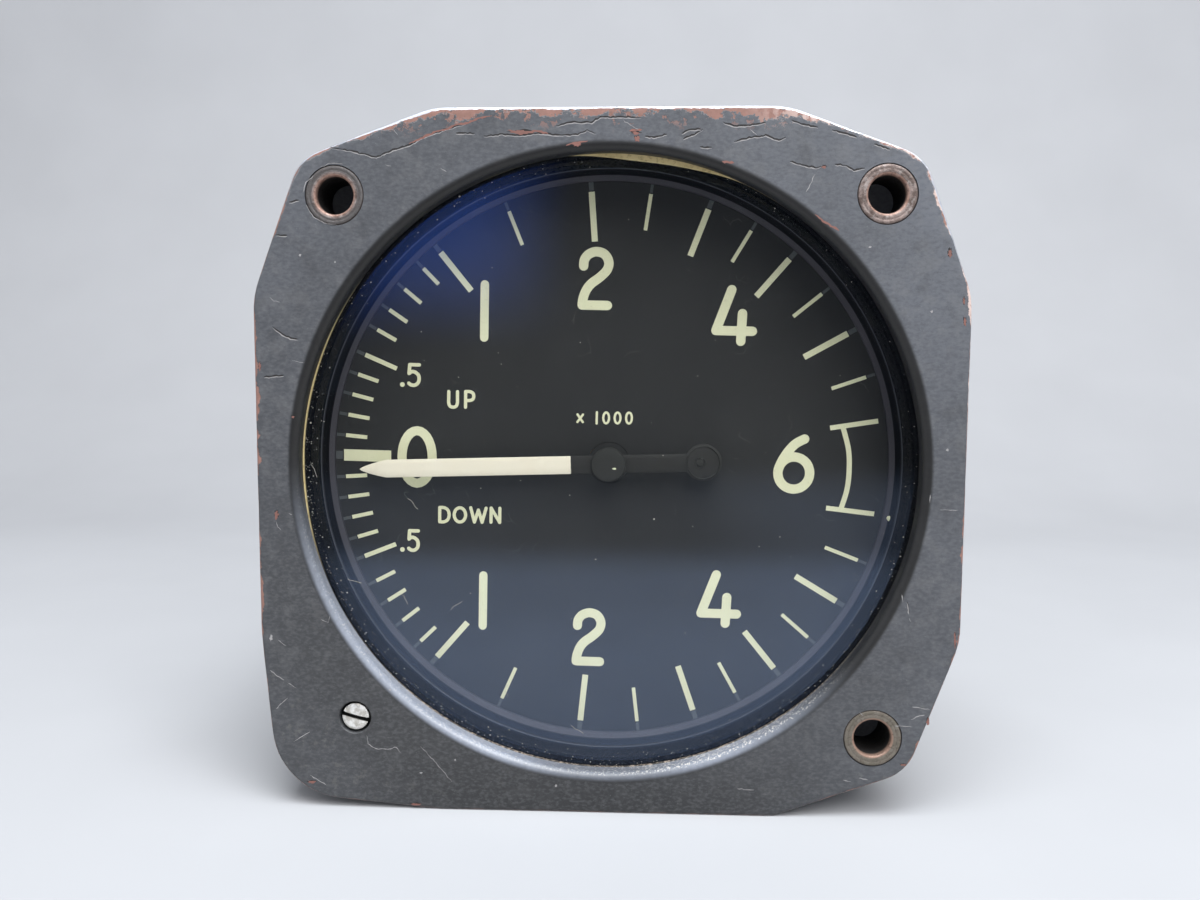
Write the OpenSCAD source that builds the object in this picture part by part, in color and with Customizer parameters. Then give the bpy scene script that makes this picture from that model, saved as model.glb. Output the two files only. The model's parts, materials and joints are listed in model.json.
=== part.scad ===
// Vertical speed indicator for an aircraft panel, 3-1/8 inch size.
// X points right and Z up as the pilot sees the dial, and Y points into the panel.
// The origin lies on the dial axis in the plane of the flange's back face.

/* [Flange] */
// How far the flange stands out past the barrel at mid-side
flange_reach = 1.75; // [1:0.05:2.5]
// Thickness of the flange plate
flange_t = 6.4; // [6:0.1:7.5]
// Distance from the barrel's surface to the circle of mounting holes
hole_reach = 4.956; // [4.8:0.001:5.4]
// Straight stretch in the middle of each side
side_flat = 40; // [34:1:44]
// Corner radius round each mounting hole
corner_r = 5.3; // [4.6:0.1:6]
// Corner radius round the zero adjuster
adjuster_corner_r = 8.8; // [7.6:0.1:9.4]
// Radius of a mounting hole
hole_r = 2.16; // [1.8:0.01:2.4]
// Outer radius of the bushing that lines a mounting hole
bushing_r = 3.4; // [2.9:0.1:3.8]
// Length of the lug behind each mounting hole
lug_len = 8.4; // [6:0.1:10]
// Radius of that lug
lug_r = 5.2; // [4.6:0.1:5.25]

/* [Window] */
// How far the lip covers the glass
lip_cover = 1.5; // [1.2:0.1:1.9]
// Radius of the rounding at the lip's front edge
lip_round = 0.86; // [0.4:0.02:1]
// Depth of the lip
lip_t = 2; // [1.5:0.1:2.5]
// Wall of the flange's skirt round the case
skirt_wall = 1.6; // [1.5:0.05:1.8]
// Radial clearance of what slides into that bore
bore_gap = 0.2; // [0.1:0.05:0.3]
// Thickness of the gasket
gasket_t = 0.4; // [0.3:0.1:0.8]
// How far the gasket is squeezed out past the lip
gasket_bulge = 0.7; // [0.3:0.1:1.2]
// Angle of the squeezed-out place
gasket_bulge_at = 81.5; // [60:0.5:120]
// Thickness of the cover glass
glass_t = 2.5; // [2:0.1:3]
// Height of the black ring between glass and dial
mask_t = 3.95; // [3.4:0.05:4.5]
// How far that ring reaches in past the lip
mask_cover = 1.9; // [1.5:0.1:2.4]
// Thickness of the dial plate
dial_t = 0.8; // [0.5:0.1:1.2]
// Radius of the dial's middle hole
dial_hole_r = 2.6; // [2:0.1:3]

/* [Pointer] */
// Distance from the pointer's tip to the ring round the dial
pointer_short = 3.6; // [2:0.1:8]
// Width of the pointer
pointer_w = 2.2; // [1.6:0.1:2.8]
// Thickness of the pointer
pointer_t = 0.35; // [0.25:0.05:0.5]
// Length of the pointer's curved tip
pointer_tip = 3.3; // [2:0.1:4]
// Distance from the axis to the counterweight
weight_at = 11.6; // [9:0.1:14]
// Radius of the counterweight
weight_r = 2.27; // [1.8:0.05:2.8]
// Height of the pointer over the dial
pointer_lift = 1.9; // [1.5:0.1:2.1]
// Angle of the resting pointer below the horizontal
pointer_droop = 1.6; // [0:0.1:3]
// Radius of the hub cap
hub_r = 2.1; // [1.8:0.05:2.5]
// Height of the hub cap
hub_t = 0.7; // [0.5:0.1:1]

/* [Case] */
// Outer radius of the barrel
case_r = 39.5; // [39.2:0.1:40]
// Wall of the barrel
case_wall = 4.5; // [4.4:0.05:4.8]
// How much smaller the radius of the bare barrel is than that of the skirt in front of it
barrel_step = 0.45; // [0.42:0.01:0.6]
// Distance from the flange's back face to the rear of the case
case_len = 88; // [87:1:100]
// Thickness of the rear wall
rear_wall = 4; // [3.5:0.1:5]
// Radius of the rear edge
rear_round = 3; // [1:0.5:4]
// Radius of the threaded static port
port_r = 4.3; // [4:0.05:4.6]
// Depth of the static port's thread
port_len = 9; // [7:0.5:10]
// Outer radius of the port insert
insert_r = 6.2; // [5.6:0.1:7]
// Radius of the boss round the port
port_boss_r = 8.5; // [8:0.1:9.5]
// Height of the boss on the rear face
port_boss_t = 2.5; // [1.5:0.1:4]
// Height of the port above the dial axis
port_z = 18; // [17.5:0.1:19]
// Thickness of the seal ring between case and flange
seal_r = 0.68; // [0.6:0.01:0.7]
// Radius of a case screw's thread
case_screw_r = 1; // [0.8:0.05:1.2]
// Radius of a case screw's head
case_screw_head_r = 1.7; // [1.5:0.05:2]

/* [Movement] */
// Thickness of the movement plates
plate_t = 1.5; // [1.2:0.1:2]
// Space between front and middle plate
front_space = 11.5; // [11.2:0.1:13]
// Radial gap between plates and case
plate_gap = 0.4; // [0.2:0.1:0.8]
// Radius of the pillars
pillar_r = 2; // [1.6:0.1:2.4]
// Sideways place of the pillars
pillar_x = 26; // [25.5:0.1:27]
// Upward place of the pillars
pillar_z = 12; // [11:0.1:13]
// Radius of the posts behind the rear plate
post_r = 2.5; // [2:0.1:3]
// Distance of the posts from the axis
post_at = 27; // [26:0.1:29]
// Tooth module of the pointer pinion and its sector
fine_module = 0.4; // [0.38:0.01:0.42]
// Teeth of the pointer pinion
pinion_teeth = 10; // [10:1:10]
// Teeth that a full circle of the sector would have
sector_teeth = 100; // [100:1:100]
// Teeth cut on the sector
sector_cut = 15; // [13:2:17]
// Thickness of the sector
sector_t = 1.2; // [0.8:0.1:1.4]
// Play between meshing teeth
tooth_play = 0.1; // [0.08:0.01:0.14]
// Distance from the sector arbor to its drive pin
drive_arm = 12; // [11.5:0.1:12.5]
// Radius of the drive pin
drive_pin_r = 0.5; // [0.4:0.05:0.6]
// Radius of the finger that pushes the drive pin
finger_r = 0.45; // [0.4:0.05:0.6]
// Gap between finger and drive pin
finger_gap = 0.03; // [0.02:0.01:0.08]
// Distance from the rocking shaft to the capsule link
link_arm_len = 4; // [3.8:0.1:4.2]
// Radius of the rocking shaft
shaft_r = 1.2; // [1:0.1:1.4]
// Half the length of the rocking shaft
shaft_half = 19.2; // [18.5:0.1:19.6]
// Half the swing of the sector in degrees
sector_swing = 17.25; // [15:0.25:17.5]
// Running clearance of pivots in their bearings
pivot_gap = 0.04; // [0.02:0.01:0.08]

/* [Hairspring] */
// Turns of the hairspring
hairspring_turns = 5; // [3:1:7]
// Outer radius of the hairspring
hairspring_r = 7.4; // [6:0.1:7.6]
// Height of the hairspring's ribbon
hairspring_w = 0.6; // [0.4:0.1:0.8]
// Thickness of the hairspring's ribbon
hairspring_t = 0.12; // [0.08:0.01:0.2]

/* [Capsule] */
// Radius of the capsule
capsule_r = 22; // [20:0.1:22.4]
// Half the thickness of the capsule
capsule_half = 2.2; // [2:0.1:2.6]
// Thickness of the capsule's sheet
sheet_t = 0.35; // [0.2:0.05:0.4]
// Depth of the rings pressed into the capsule
ripple = 0.28; // [0.1:0.02:0.32]
// Number of rings pressed into the capsule
ripples = 4; // [3:1:5]
// Outer radius of the static tube
tube_r = 1.2; // [1:0.1:1.4]
// Bend radius of the static tube
tube_bend = 6; // [5:0.5:7]

/* [Adjuster] */
// How much nearer to the axis the zero screw lies than a mounting hole, in X and in Z
screw_in = 1.385; // [1:0.005:1.7]
// Radius of the hole round the zero screw's head
screw_hole_r = 1.92; // [1.85:0.01:2.05]
// Radius of the zero screw's head
screw_head_r = 1.61; // [1.5:0.01:1.75]
// Radius of the zero screw's shank
screw_shank_r = 1.1; // [0.9:0.05:1.2]
// Width of the zero screw's slot
slot_w = 0.5; // [0.4:0.05:0.7]
// Angle of the zero screw's slot
slot_turn = -14.7; // [-90:0.1:90]
// Outer radius of the corner boss
boss_r = 6; // [5.8:0.1:6.4]
// Tooth module of the adjuster gears
adjuster_module = 0.5; // [0.48:0.01:0.52]
// Teeth of the adjuster pinion
adjuster_pinion_teeth = 12; // [12:1:12]
// Teeth of the adjuster gear
adjuster_gear_teeth = 28; // [28:1:28]
// Thickness of the adjuster gear
adjuster_gear_t = 1.6; // [1.2:0.1:1.8]

/* [Hidden] */
$fn = 96;
// Overlap of a cutting tool past the face that it cuts
cut = 0.5;

// Tooth form, in modules
root_depth = 1.05;
tip_height = 0.8;

// Stack behind the lip, from front to back
front_y = -flange_t;
lip_back_y = front_y + lip_t;
glass_y = lip_back_y + gasket_t;
mask_y = glass_y + glass_t;
dial_y = mask_y + mask_t;
case_y = dial_y + dial_t;
flange_w = 2 * (case_r + flange_reach);
bore_r = case_r - skirt_wall;
slide_r = bore_r - bore_gap;
lip_r = bore_r - lip_cover;
mask_r = lip_r - mask_cover;
pointer_len = mask_r - pointer_short;
case_in_r = case_r - case_wall;
barrel_r = case_r - barrel_step;
plate_r = case_in_r - plate_gap;
gasket_r = lip_r - 0.1;
// The gasket's hole lies this far to the right of the axis
gasket_shift = 0.1;
bulge_curve_r = 70;
half_pitch = (case_r + hole_reach) / sqrt(2);
screw_at = half_pitch - screw_in;
// The corner rounds stand this little past the straight edges that lead to them
corner_lap = 0.004;
// The movement's sizes are given for a barrel of this radius and grow with it
design_r = 39.5;
fit = case_r / design_r;

// Adjuster pinion and gear, then the seal and screws that lie behind them
gear_y = case_y + 1.45;
gear_cut_gap = 0.5;
gear_end_y = gear_y + adjuster_gear_t;
seal_groove_w = 2 * seal_r + 0.24;
seal_groove_y = gear_end_y + gear_cut_gap + 0.8;
seal_y = seal_groove_y + seal_groove_w / 2;
seal_play = 0.02;
case_screw_y = seal_groove_y + seal_groove_w + 2.4;
case_screw_head_t = 0.9;
skirt_end_y = case_screw_y + 2.4;
wall_in_y = case_len - rear_wall;

// Movement plates
front_plate_y = gear_end_y + 2.2;
front_plate_end = front_plate_y + plate_t;
middle_plate_y = front_plate_end + front_space;
middle_plate_end = middle_plate_y + plate_t;
pillar_places = fit * [[pillar_x, pillar_z], [-pillar_x, pillar_z],
                       [-pillar_x, -pillar_z], [pillar_x, -pillar_z]];
small_screw_r = 0.9;
small_head_r = 1.8;
small_head_t = 1.2;
pillar_stud_r = 1.1;
post_angles = [60, 180, 300];
movement_screw_r = 1.4;
movement_head_r = 2.9;
movement_head_t = 2;

// Pointer, staff and pinion
pointer_y = dial_y - pointer_lift - pointer_t;
hub_y = pointer_y - hub_t;
hub_tube_r = 1;
hub_tube_len = 2;
staff_seat_r = 0.5;
staff_r = 0.8;
staff_front_pivot_r = 0.45;
staff_rear_pivot_r = 0.3;
gear_module = fit * fine_module;
pinion_r = gear_module * pinion_teeth / 2;
pinion_y = front_plate_end + 2.6;
pinion_t = sector_t + 1;

// Sector
sector_r = gear_module * sector_teeth / 2;
arbor_x = -(sector_r + pinion_r);
arbor_r = 1;
arbor_pivot_r = 0.4;
sector_y = pinion_y + 0.5;
sector_hub_r = 3.2;
sector_weight_at = 8 * fit;
sector_weight_r = 3.4 * fit;
sector_tail_w = 3;
jewel_r = 1.6;
banking_pin_r = 1;
banking_gap = 0.35;
banking_turn = sector_swing
    + 2 * asin((sector_weight_r + banking_pin_r + banking_gap) / 2 / sector_weight_at);

// Hairspring
collet_r = 1.6;
hairspring_y = sector_y + sector_t + 2.9;
stud_r = 0.6;
stud_turn = 60;

// Rocking shaft, whose finger crosses the drive pin one arm length in front of it
finger_y = sector_y + sector_t + 2.1;
swing_arm = fit * drive_arm;
drive_x = arbor_x + swing_arm;
drive_pin_end = finger_y + 2.4;
shaft_y = finger_y + swing_arm;
shaft_z = -(drive_pin_r + finger_r + finger_gap);
finger_arm_x = drive_x - 3.5;
finger_arm_t = 1.2;
finger_end_x = drive_x + 1.4;
arm_w = 1.7;
collar_r = shaft_r + 1;
shaft_pivot_r = 0.6;
bracket_t = 2;
bracket_x = fit * shaft_half + 0.4;
bracket_top_y = shaft_y + 2.6;
bracket_w = 7;
foot_len = 5.6;
foot_t = 1.2;
bracket_screw_x = bracket_x + bracket_t + foot_len - small_head_r - 0.2;
link_z = shaft_z + link_arm_len;
link_pin_r = 0.5;
link_pin_gap = 0.06;
link_t = 1.2;
link_arm_x = link_t / 2 + 0.4;
link_end_half = 1.15;
link_rise = 0.13;
link_rod_r = 0.8;
shaft_weight_x = 12;
shaft_weight_r = 1.9;
shaft_weight_at = 4.4;

// Capsule, with its centre pushed along Y
capsule_y = shaft_y + 9.6;
capsule_mid_y = capsule_y + capsule_half;
disc_r = fit * capsule_r;
rim_w = 1.6;
hub_flat_r = 4;
link_disc_r = 3;
link_disc_t = 0.9;
stem_flange_r = 5;
stem_y = capsule_mid_y + capsule_half;
stem_flange_t = 1.2;
stem_thread_r = 2.5;
stem_tail_r = 2;
carrier_y = stem_y + stem_flange_t;
carrier_t = 1;
nut_r = 4;
nut_t = 1.8;
nut_gap = 0.75;
rear_plate_y = carrier_y + carrier_t + nut_t + nut_gap;
rear_plate_end = rear_plate_y + plate_t;
standoff_x = 10 * fit;
standoff_z = 24 * fit;
standoff_r = 2.2;
tail_end_y = rear_plate_end + 2.2;
tail_hole_r = 4;

// Static tube: two equal bends carry it from the stem up to the port, and a straight run that
// is tangent to both joins them
block_t = 9;
block_y = wall_in_y - block_t;
port_at = fit * port_z;
tube_start_y = tail_end_y + 0.6;
tube_bends_end_y = block_y - 0.6;
bends_apart = [tube_bends_end_y - tube_start_y, port_at - link_z - 2 * tube_bend];
bend_turn = atan2(bends_apart.y, bends_apart.x) + asin(2 * tube_bend / norm(bends_apart));
tube_run = sqrt(bends_apart * bends_apart - 4 * tube_bend * tube_bend);
tube_seat = 3;
tube_bore_r = tube_r - 0.4;
tube_swell = 0.03;
tube_lap = 0.05;

// Port block on the rear wall, with the diffuser beside the tube
block_half_h = 7.5 * fit;
diffuser_x = -13 * fit;
block_left = diffuser_x - 9 * fit;
block_right = 7.5 * fit;
block_screw_z = 5 * fit;
insert_in = 4;
insert_proud = 0.4;
insert_y = wall_in_y - insert_in;
insert_end_y = case_len + port_boss_t + insert_proud;
passage_r = 0.8;
diffuser_r = 5.5;
diffuser_gap = 9;
diffuser_len = block_y - rear_plate_end - diffuser_gap;
diffuser_wall = 1;
diffuser_thread_r = 3;
diffuser_y = block_y - diffuser_len;
core_gap = 0.1;
cap_t = 1.6;

// Corner boss
gear_r = adjuster_module * adjuster_gear_teeth / 2;
adjuster_pinion_r = adjuster_module * adjuster_pinion_teeth / 2;
cavity_r = adjuster_pinion_r + tip_height * adjuster_module + 0.4;
lead_at = screw_at - (gear_r + adjuster_pinion_r) / sqrt(2);
gear_tip_r = gear_r + tip_height * adjuster_module;
head_y = front_y + 0.15;
head_t = 2.3;
head_seat_y = front_y + 2.8;
cavity_y = 3.4;
oring_y = -0.6;
oring_pocket_r = 2.7;
oring_r = 0.75;
washer_y = oring_y + 2 * oring_r + 0.04;
washer_t = 1;
boss_end_y = skirt_end_y - 1;
cover_t = 2.5;
cover_y = boss_end_y - cover_t;
cover_gap = 0.05;
screw_tail_r = 0.8;
shank_gap = 0.06;
lead_r = 1.5;
lead_journal_r = 1;
lead_pivot_r = 0.8;
lead_gap = 0.05;
guide_r = 0.9;
guide_x = -lead_at + 6.48;
guide_z = -lead_at - 3.52;
rod_x = -lead_at + 5.48;
rod_z = -lead_at + 4.48;
rod_r = 1;
carriage_y = front_plate_end + 4.5;
carriage_t = 4;
rod_gap = 0.6;

// A flat piece drawn in X and Z that starts at y and is t thick towards the back
module slab(y, t) {
    translate([0, y + t, 0]) rotate([90, 0, 0]) linear_extrude(t) children();
}

// A round bar along Y
module bar(y, t, r, x = 0, z = 0) {
    slab(y, t) translate([x, z]) circle(r);
}

// A turned piece whose profile gives radius and y
module turned(x = 0, z = 0) {
    translate([x, 0, z]) rotate([-90, 0, 0]) rotate_extrude() children();
}

// A round bar along X
module crossbar(x, len, r, y, z) {
    translate([x, y, z]) rotate([0, 90, 0]) cylinder(h = len, r = r);
}

// Points of an arc, in degrees counterclockwise
function arc(r, from, to, steps, at = [0, 0]) =
    [for (i = [0:steps]) let (a = from + (to - from) * i / steps) at + r * [cos(a), sin(a)]];

// One tooth that points along the angle mid
function tooth(r, m, mid) = let (w = PI * m / 4 - tooth_play / 2)
    [for (p = [[-1.3, -root_depth], [-1, 0], [-0.5, tip_height],
               [0.5, tip_height], [1, 0], [1.3, -root_depth]])
        let (out = r + p.y * m, side = p.x * w)
        [out * cos(mid) - side * sin(mid), out * sin(mid) + side * cos(mid)]];

// Outline of count teeth out of a circle of teeth, the first at the angle start
function teeth_outline(teeth, m, start, count) =
    [for (i = [0:count - 1]) each tooth(teeth * m / 2, m, start + i * 360 / teeth)];

// Upper right corner of the flange: end of the top flat, two tangent points, end of the side flat
function corner_points(r) =
    let (a = [side_flat / 2, flange_w / 2],
         v = [half_pitch, half_pitch] - a,
         turn = atan2(v.y, v.x) + asin(r / norm(v)),
         t = a + sqrt(v * v - r * r) * [cos(turn), sin(turn)])
    [a, t, [t.y, t.x], [a.y, a.x]];

function mirrored(points, sx, sz) = [for (p = points) [sx * p.x, sz * p.y]];

function backwards(points) = [for (i = [len(points) - 1:-1:0]) points[i]];

module flange_outline() {
    plain = corner_points(corner_r);
    round = corner_points(adjuster_corner_r);
    polygon(concat(plain, backwards(mirrored(plain, 1, -1)),
                   mirrored(round, -1, -1), backwards(mirrored(plain, -1, 1))));
    for (s = [[1, 1], [1, -1], [-1, 1]])
        translate(half_pitch * s) circle(corner_r + corner_lap);
    translate([-half_pitch, -half_pitch]) circle(adjuster_corner_r + corner_lap);
}

module mounting_places() {
    for (s = [[1, 1], [1, -1], [-1, 1]]) translate(half_pitch * s) children();
}

// Room for the adjuster gear, which reaches through the case wall into the corner boss
module gear_room() {
    bar(gear_y - gear_cut_gap, adjuster_gear_t + 2 * gear_cut_gap, gear_tip_r + gear_cut_gap,
        -lead_at, -lead_at);
}

module case_screw_places() {
    for (a = [0, 90, 180, 270]) rotate([0, a, 0]) translate([0, case_screw_y, 0]) children();
}

module movement_places() {
    for (a = post_angles) translate(fit * post_at * [cos(a), 0, sin(a)]) children();
}

// A flat arm from a to b, first with square and then with round ends
module arm(a, b, w) {
    n = [a.y - b.y, b.x - a.x] / norm(b - a) * w / 2;
    polygon([a - n, b - n, b + n, a + n]);
}

module strip(a, b, w) {
    arm(a, b, w);
    for (p = [a, b]) translate(p) circle(w / 2);
}

// A flat piece drawn in Y and Z that starts at x and is t thick to the right
module upright(x, t) {
    translate([x, 0, 0]) rotate([90, 0, 90]) linear_extrude(t) children();
}

// A slot cut across a screw head that faces the front
module front_slot(y, w, depth, turn = 0) {
    slab(y - cut, depth + cut) rotate(turn) square([20, w], center = true);
}

module flange_casting() {
    rounding = [lip_r + lip_round, front_y + lip_round];
    color("dimgray") difference() {
        union() {
            slab(front_y, flange_t) flange_outline();
            bar(-cut, skirt_end_y + cut, case_r);
            slab(-cut, lug_len + cut) mounting_places() circle(lug_r);
            bar(-cut, boss_end_y + cut, boss_r, -screw_at, -screw_at);
        }
        turned() polygon(concat(
            [[0, front_y - cut], [rounding.x, front_y - cut]],
            arc(lip_round, 270, 180, 6, rounding),
            [[lip_r, lip_back_y], [bore_r, lip_back_y], [bore_r, skirt_end_y + cut],
             [0, skirt_end_y + cut]]));
        slab(front_y - cut, flange_t + lug_len + 2 * cut) mounting_places() circle(bushing_r);
        bar(front_y - cut, head_seat_y - front_y + cut, screw_hole_r, -screw_at, -screw_at);
        bar(head_seat_y - cut, cavity_y - head_seat_y + cut, screw_shank_r + shank_gap,
            -screw_at, -screw_at);
        bar(oring_y, cavity_y - oring_y + cut, oring_pocket_r, -screw_at, -screw_at);
        bar(cavity_y, boss_end_y - cavity_y + cut, cavity_r, -screw_at, -screw_at);
        gear_room();
        case_screw_places() {
            crossbar(case_in_r, case_wall + cut, case_screw_r + 0.1, 0, 0);
            crossbar(case_r - case_screw_head_t - 0.1, case_screw_head_t + cut,
                     case_screw_head_r + 0.1, 0, 0);
        }
    }
}

module mounting_bushings() {
    color("rosybrown") slab(front_y, flange_t + lug_len) mounting_places() difference() {
        circle(bushing_r);
        circle(hole_r);
    }
}

module glass_gasket() {
    color("tan") slab(lip_back_y, gasket_t) difference() {
        circle(slide_r);
        intersection() {
            translate([gasket_shift, 0]) circle(gasket_r);
            rotate(gasket_bulge_at)
                translate([gasket_r - gasket_bulge - bulge_curve_r, 0]) circle(bulge_curve_r);
        }
    }
}

module cover_glass() {
    color("lightcyan", 0.3) bar(glass_y, glass_t, slide_r);
}

module dial_mask_ring() {
    color("black") turned() polygon([
        [slide_r, mask_y], [lip_r - 0.1, mask_y], [mask_r + 0.97, dial_y - 2.35],
        [mask_r + 0.7, dial_y - 0.95], [mask_r, dial_y - 0.45], [mask_r, dial_y],
        [slide_r, dial_y]]);
}

module dial_plate() {
    color("darkslategray") slab(dial_y, dial_t) difference() {
        circle(slide_r);
        circle(dial_hole_r);
    }
}

module case_body() {
    groove_r = bore_r - 2 * (seal_r + seal_play);
    color("dimgray") difference() {
        union() {
            turned() polygon(concat(
                [[case_in_r, case_y], [slide_r, case_y], [slide_r, seal_groove_y],
                 [groove_r, seal_groove_y], [groove_r, seal_groove_y + seal_groove_w],
                 [slide_r, seal_groove_y + seal_groove_w], [slide_r, skirt_end_y],
                 [barrel_r, skirt_end_y]],
                arc(rear_round, 0, 90, 6, [barrel_r - rear_round, case_len - rear_round]),
                [[0, case_len], [0, wall_in_y], [case_in_r, wall_in_y]]));
            bar(case_len - cut, port_boss_t + cut, port_boss_r, 0, port_at);
        }
        bar(wall_in_y - cut, rear_wall + port_boss_t + 2 * cut, insert_r, 0, port_at);
        gear_room();
        case_screw_places() crossbar(case_in_r - cut, case_wall, case_screw_r, 0, 0);
        movement_places() {
            bar(wall_in_y - cut, rear_wall + cut, movement_screw_r);
            bar(case_len - movement_head_t - 0.2, movement_head_t + 0.2 + cut,
                movement_head_r + 0.2);
        }
        block_screw_places() bar(wall_in_y - cut, 2.5 + cut, small_screw_r);
    }
}

module case_seal() {
    color("black") turned() translate([bore_r - seal_play - seal_r, seal_y]) circle(seal_r);
}

module case_screws() {
    color("silver") case_screw_places() difference() {
        union() {
            crossbar(case_in_r + 0.4, case_wall - 1, case_screw_r, 0, 0);
            crossbar(case_r - case_screw_head_t, case_screw_head_t - 0.05, case_screw_head_r, 0, 0);
        }
        translate([case_r - 0.5, -case_r, -0.2]) cube([2, 2 * case_r, 0.4]);
    }
}

module static_port_insert() {
    color("darkgoldenrod") turned(0, port_at) polygon([
        [passage_r, insert_y], [insert_r, insert_y], [insert_r, insert_end_y],
        [port_r, insert_end_y], [port_r, insert_end_y - port_len],
        [passage_r, insert_end_y - port_len]]);
}

module movement_screws() {
    color("silver") movement_places() difference() {
        union() {
            bar(wall_in_y - 5, rear_wall + 5 - movement_head_t / 2, movement_screw_r);
            bar(case_len - movement_head_t - 0.2, movement_head_t, movement_head_r);
        }
        translate([-10, case_len - 1.2, -0.4]) cube([20, 2, 0.8]);
    }
}

module movement_posts() {
    color("silver") movement_places() difference() {
        union() {
            bar(rear_plate_end, wall_in_y - rear_plate_end, post_r);
            bar(rear_plate_y, plate_t + cut, movement_screw_r);
        }
        bar(wall_in_y - 6, 6 + cut, movement_screw_r);
    }
}

module front_plate() {
    color("burlywood") slab(front_plate_y, plate_t) difference() {
        circle(plate_r);
        circle(jewel_r);
        translate([arbor_x, 0]) circle(jewel_r);
        translate([-lead_at, -lead_at]) circle(lead_journal_r + pivot_gap);
        translate([guide_x, guide_z]) circle(guide_r);
        for (p = pillar_places) translate(p) circle(small_screw_r);
        for (s = [-1, 1]) translate(fit * [15, 16 * s]) circle(5);
    }
}

module middle_plate() {
    color("burlywood") slab(middle_plate_y, plate_t) difference() {
        circle(plate_r - 1);
        circle(jewel_r);
        translate([arbor_x, 0]) circle(jewel_r);
        translate([-lead_at, -lead_at]) circle(lead_pivot_r + pivot_gap);
        translate([guide_x, guide_z]) circle(guide_r);
        translate([rod_x, rod_z]) circle(rod_r + 0.4);
        for (p = pillar_places) translate(p) circle(pillar_stud_r);
        for (s = [-1, 1]) translate([s * bracket_screw_x, shaft_z]) circle(small_screw_r);
        translate([finger_arm_x + finger_arm_t / 2, shaft_z]) square([4.6, 8], center = true);
        for (s = [-1, 1]) translate(fit * [8, 20 * s]) circle(7);
    }
}

module rear_plate() {
    color("burlywood") slab(rear_plate_y, plate_t) difference() {
        circle(plate_r - 1);
        translate([0, link_z]) circle(tail_hole_r);
        for (p = pillar_places) translate(p) circle(small_screw_r);
        for (s = [-1, 1]) translate([s * standoff_x, standoff_z]) circle(small_screw_r);
        for (a = post_angles) translate(fit * post_at * [cos(a), sin(a)]) circle(movement_screw_r);
        translate([0, -18 * fit]) circle(8);
    }
}

module short_pillars() {
    color("goldenrod") for (p = pillar_places) difference() {
        bar(front_plate_end, front_space, pillar_r, p.x, p.y);
        bar(front_plate_end - cut, 4 + cut, small_screw_r, p.x, p.y);
        bar(middle_plate_y - 3.5, 3.5 + cut, pillar_stud_r, p.x, p.y);
    }
}

module long_pillars() {
    color("goldenrod") for (p = pillar_places) difference() {
        union() {
            bar(middle_plate_end, rear_plate_y - middle_plate_end, pillar_r, p.x, p.y);
            bar(middle_plate_y - 3, plate_t + 3 + cut, pillar_stud_r, p.x, p.y);
        }
        bar(rear_plate_y - 4, 4 + cut, small_screw_r, p.x, p.y);
    }
}

// A slotted screw along Y whose head rises from the face at y; way is 1 for a head at the front
module small_screw(y, len, way = 1) {
    translate([0, y, 0]) mirror([0, way > 0 ? 0 : 1, 0]) difference() {
        union() {
            bar(-small_head_t, small_head_t, small_head_r);
            bar(-cut, len + cut, small_screw_r);
        }
        front_slot(-small_head_t, 0.45, 0.5, 25);
    }
}

module pillar_screws() {
    color("silver") for (p = pillar_places) translate([p.x, 0, p.y]) {
        small_screw(front_plate_y, plate_t + 3.5);
        small_screw(rear_plate_end, plate_t + 3.5, -1);
    }
}

module staff_jewels() {
    color("crimson") {
        slab(front_plate_y, plate_t) difference() {
            circle(jewel_r);
            circle(staff_front_pivot_r + pivot_gap);
        }
        slab(middle_plate_y, plate_t) difference() {
            circle(jewel_r);
            circle(staff_rear_pivot_r + pivot_gap);
        }
    }
}

module sector_jewels() {
    color("crimson") for (y = [front_plate_y, middle_plate_y])
        slab(y, plate_t) translate([arbor_x, 0]) difference() {
            circle(jewel_r);
            circle(arbor_pivot_r + pivot_gap);
        }
}

module banking_pins() {
    color("silver") for (s = [-1, 1])
        bar(front_plate_end, sector_y + sector_t + 0.4 - front_plate_end, banking_pin_r,
            arbor_x - sector_weight_at * cos(banking_turn),
            s * sector_weight_at * sin(banking_turn));
}

module shaft_brackets() {
    color("goldenrod") for (s = [-1, 1]) {
        start = s > 0 ? bracket_x : -bracket_x - bracket_t;
        foot = s > 0 ? bracket_x : -bracket_x - bracket_t - foot_len;
        difference() {
            union() {
                upright(start, bracket_t) translate([middle_plate_end, shaft_z - bracket_w / 2])
                    square([bracket_top_y - middle_plate_end, bracket_w]);
                upright(foot, bracket_t + foot_len)
                    translate([middle_plate_end, shaft_z - bracket_w / 2])
                    square([foot_t, bracket_w]);
            }
            crossbar(start - cut, bracket_t + 2 * cut, shaft_pivot_r + pivot_gap, shaft_y, shaft_z);
            bar(middle_plate_end - cut, foot_t + 2 * cut, small_screw_r,
                s * bracket_screw_x, shaft_z);
        }
    }
}

module bracket_screws() {
    color("silver") for (s = [-1, 1]) translate([s * bracket_screw_x, 0, shaft_z])
        small_screw(middle_plate_end + foot_t, foot_t + plate_t - 0.2, -1);
}

module hairspring_stud() {
    at = (fit * hairspring_r + hairspring_t / 2 + stud_r) * [cos(stud_turn), sin(stud_turn)];
    color("goldenrod") bar(hairspring_y - 0.3, middle_plate_y - hairspring_y + 0.3, stud_r,
                           at.x, at.y);
}

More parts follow.
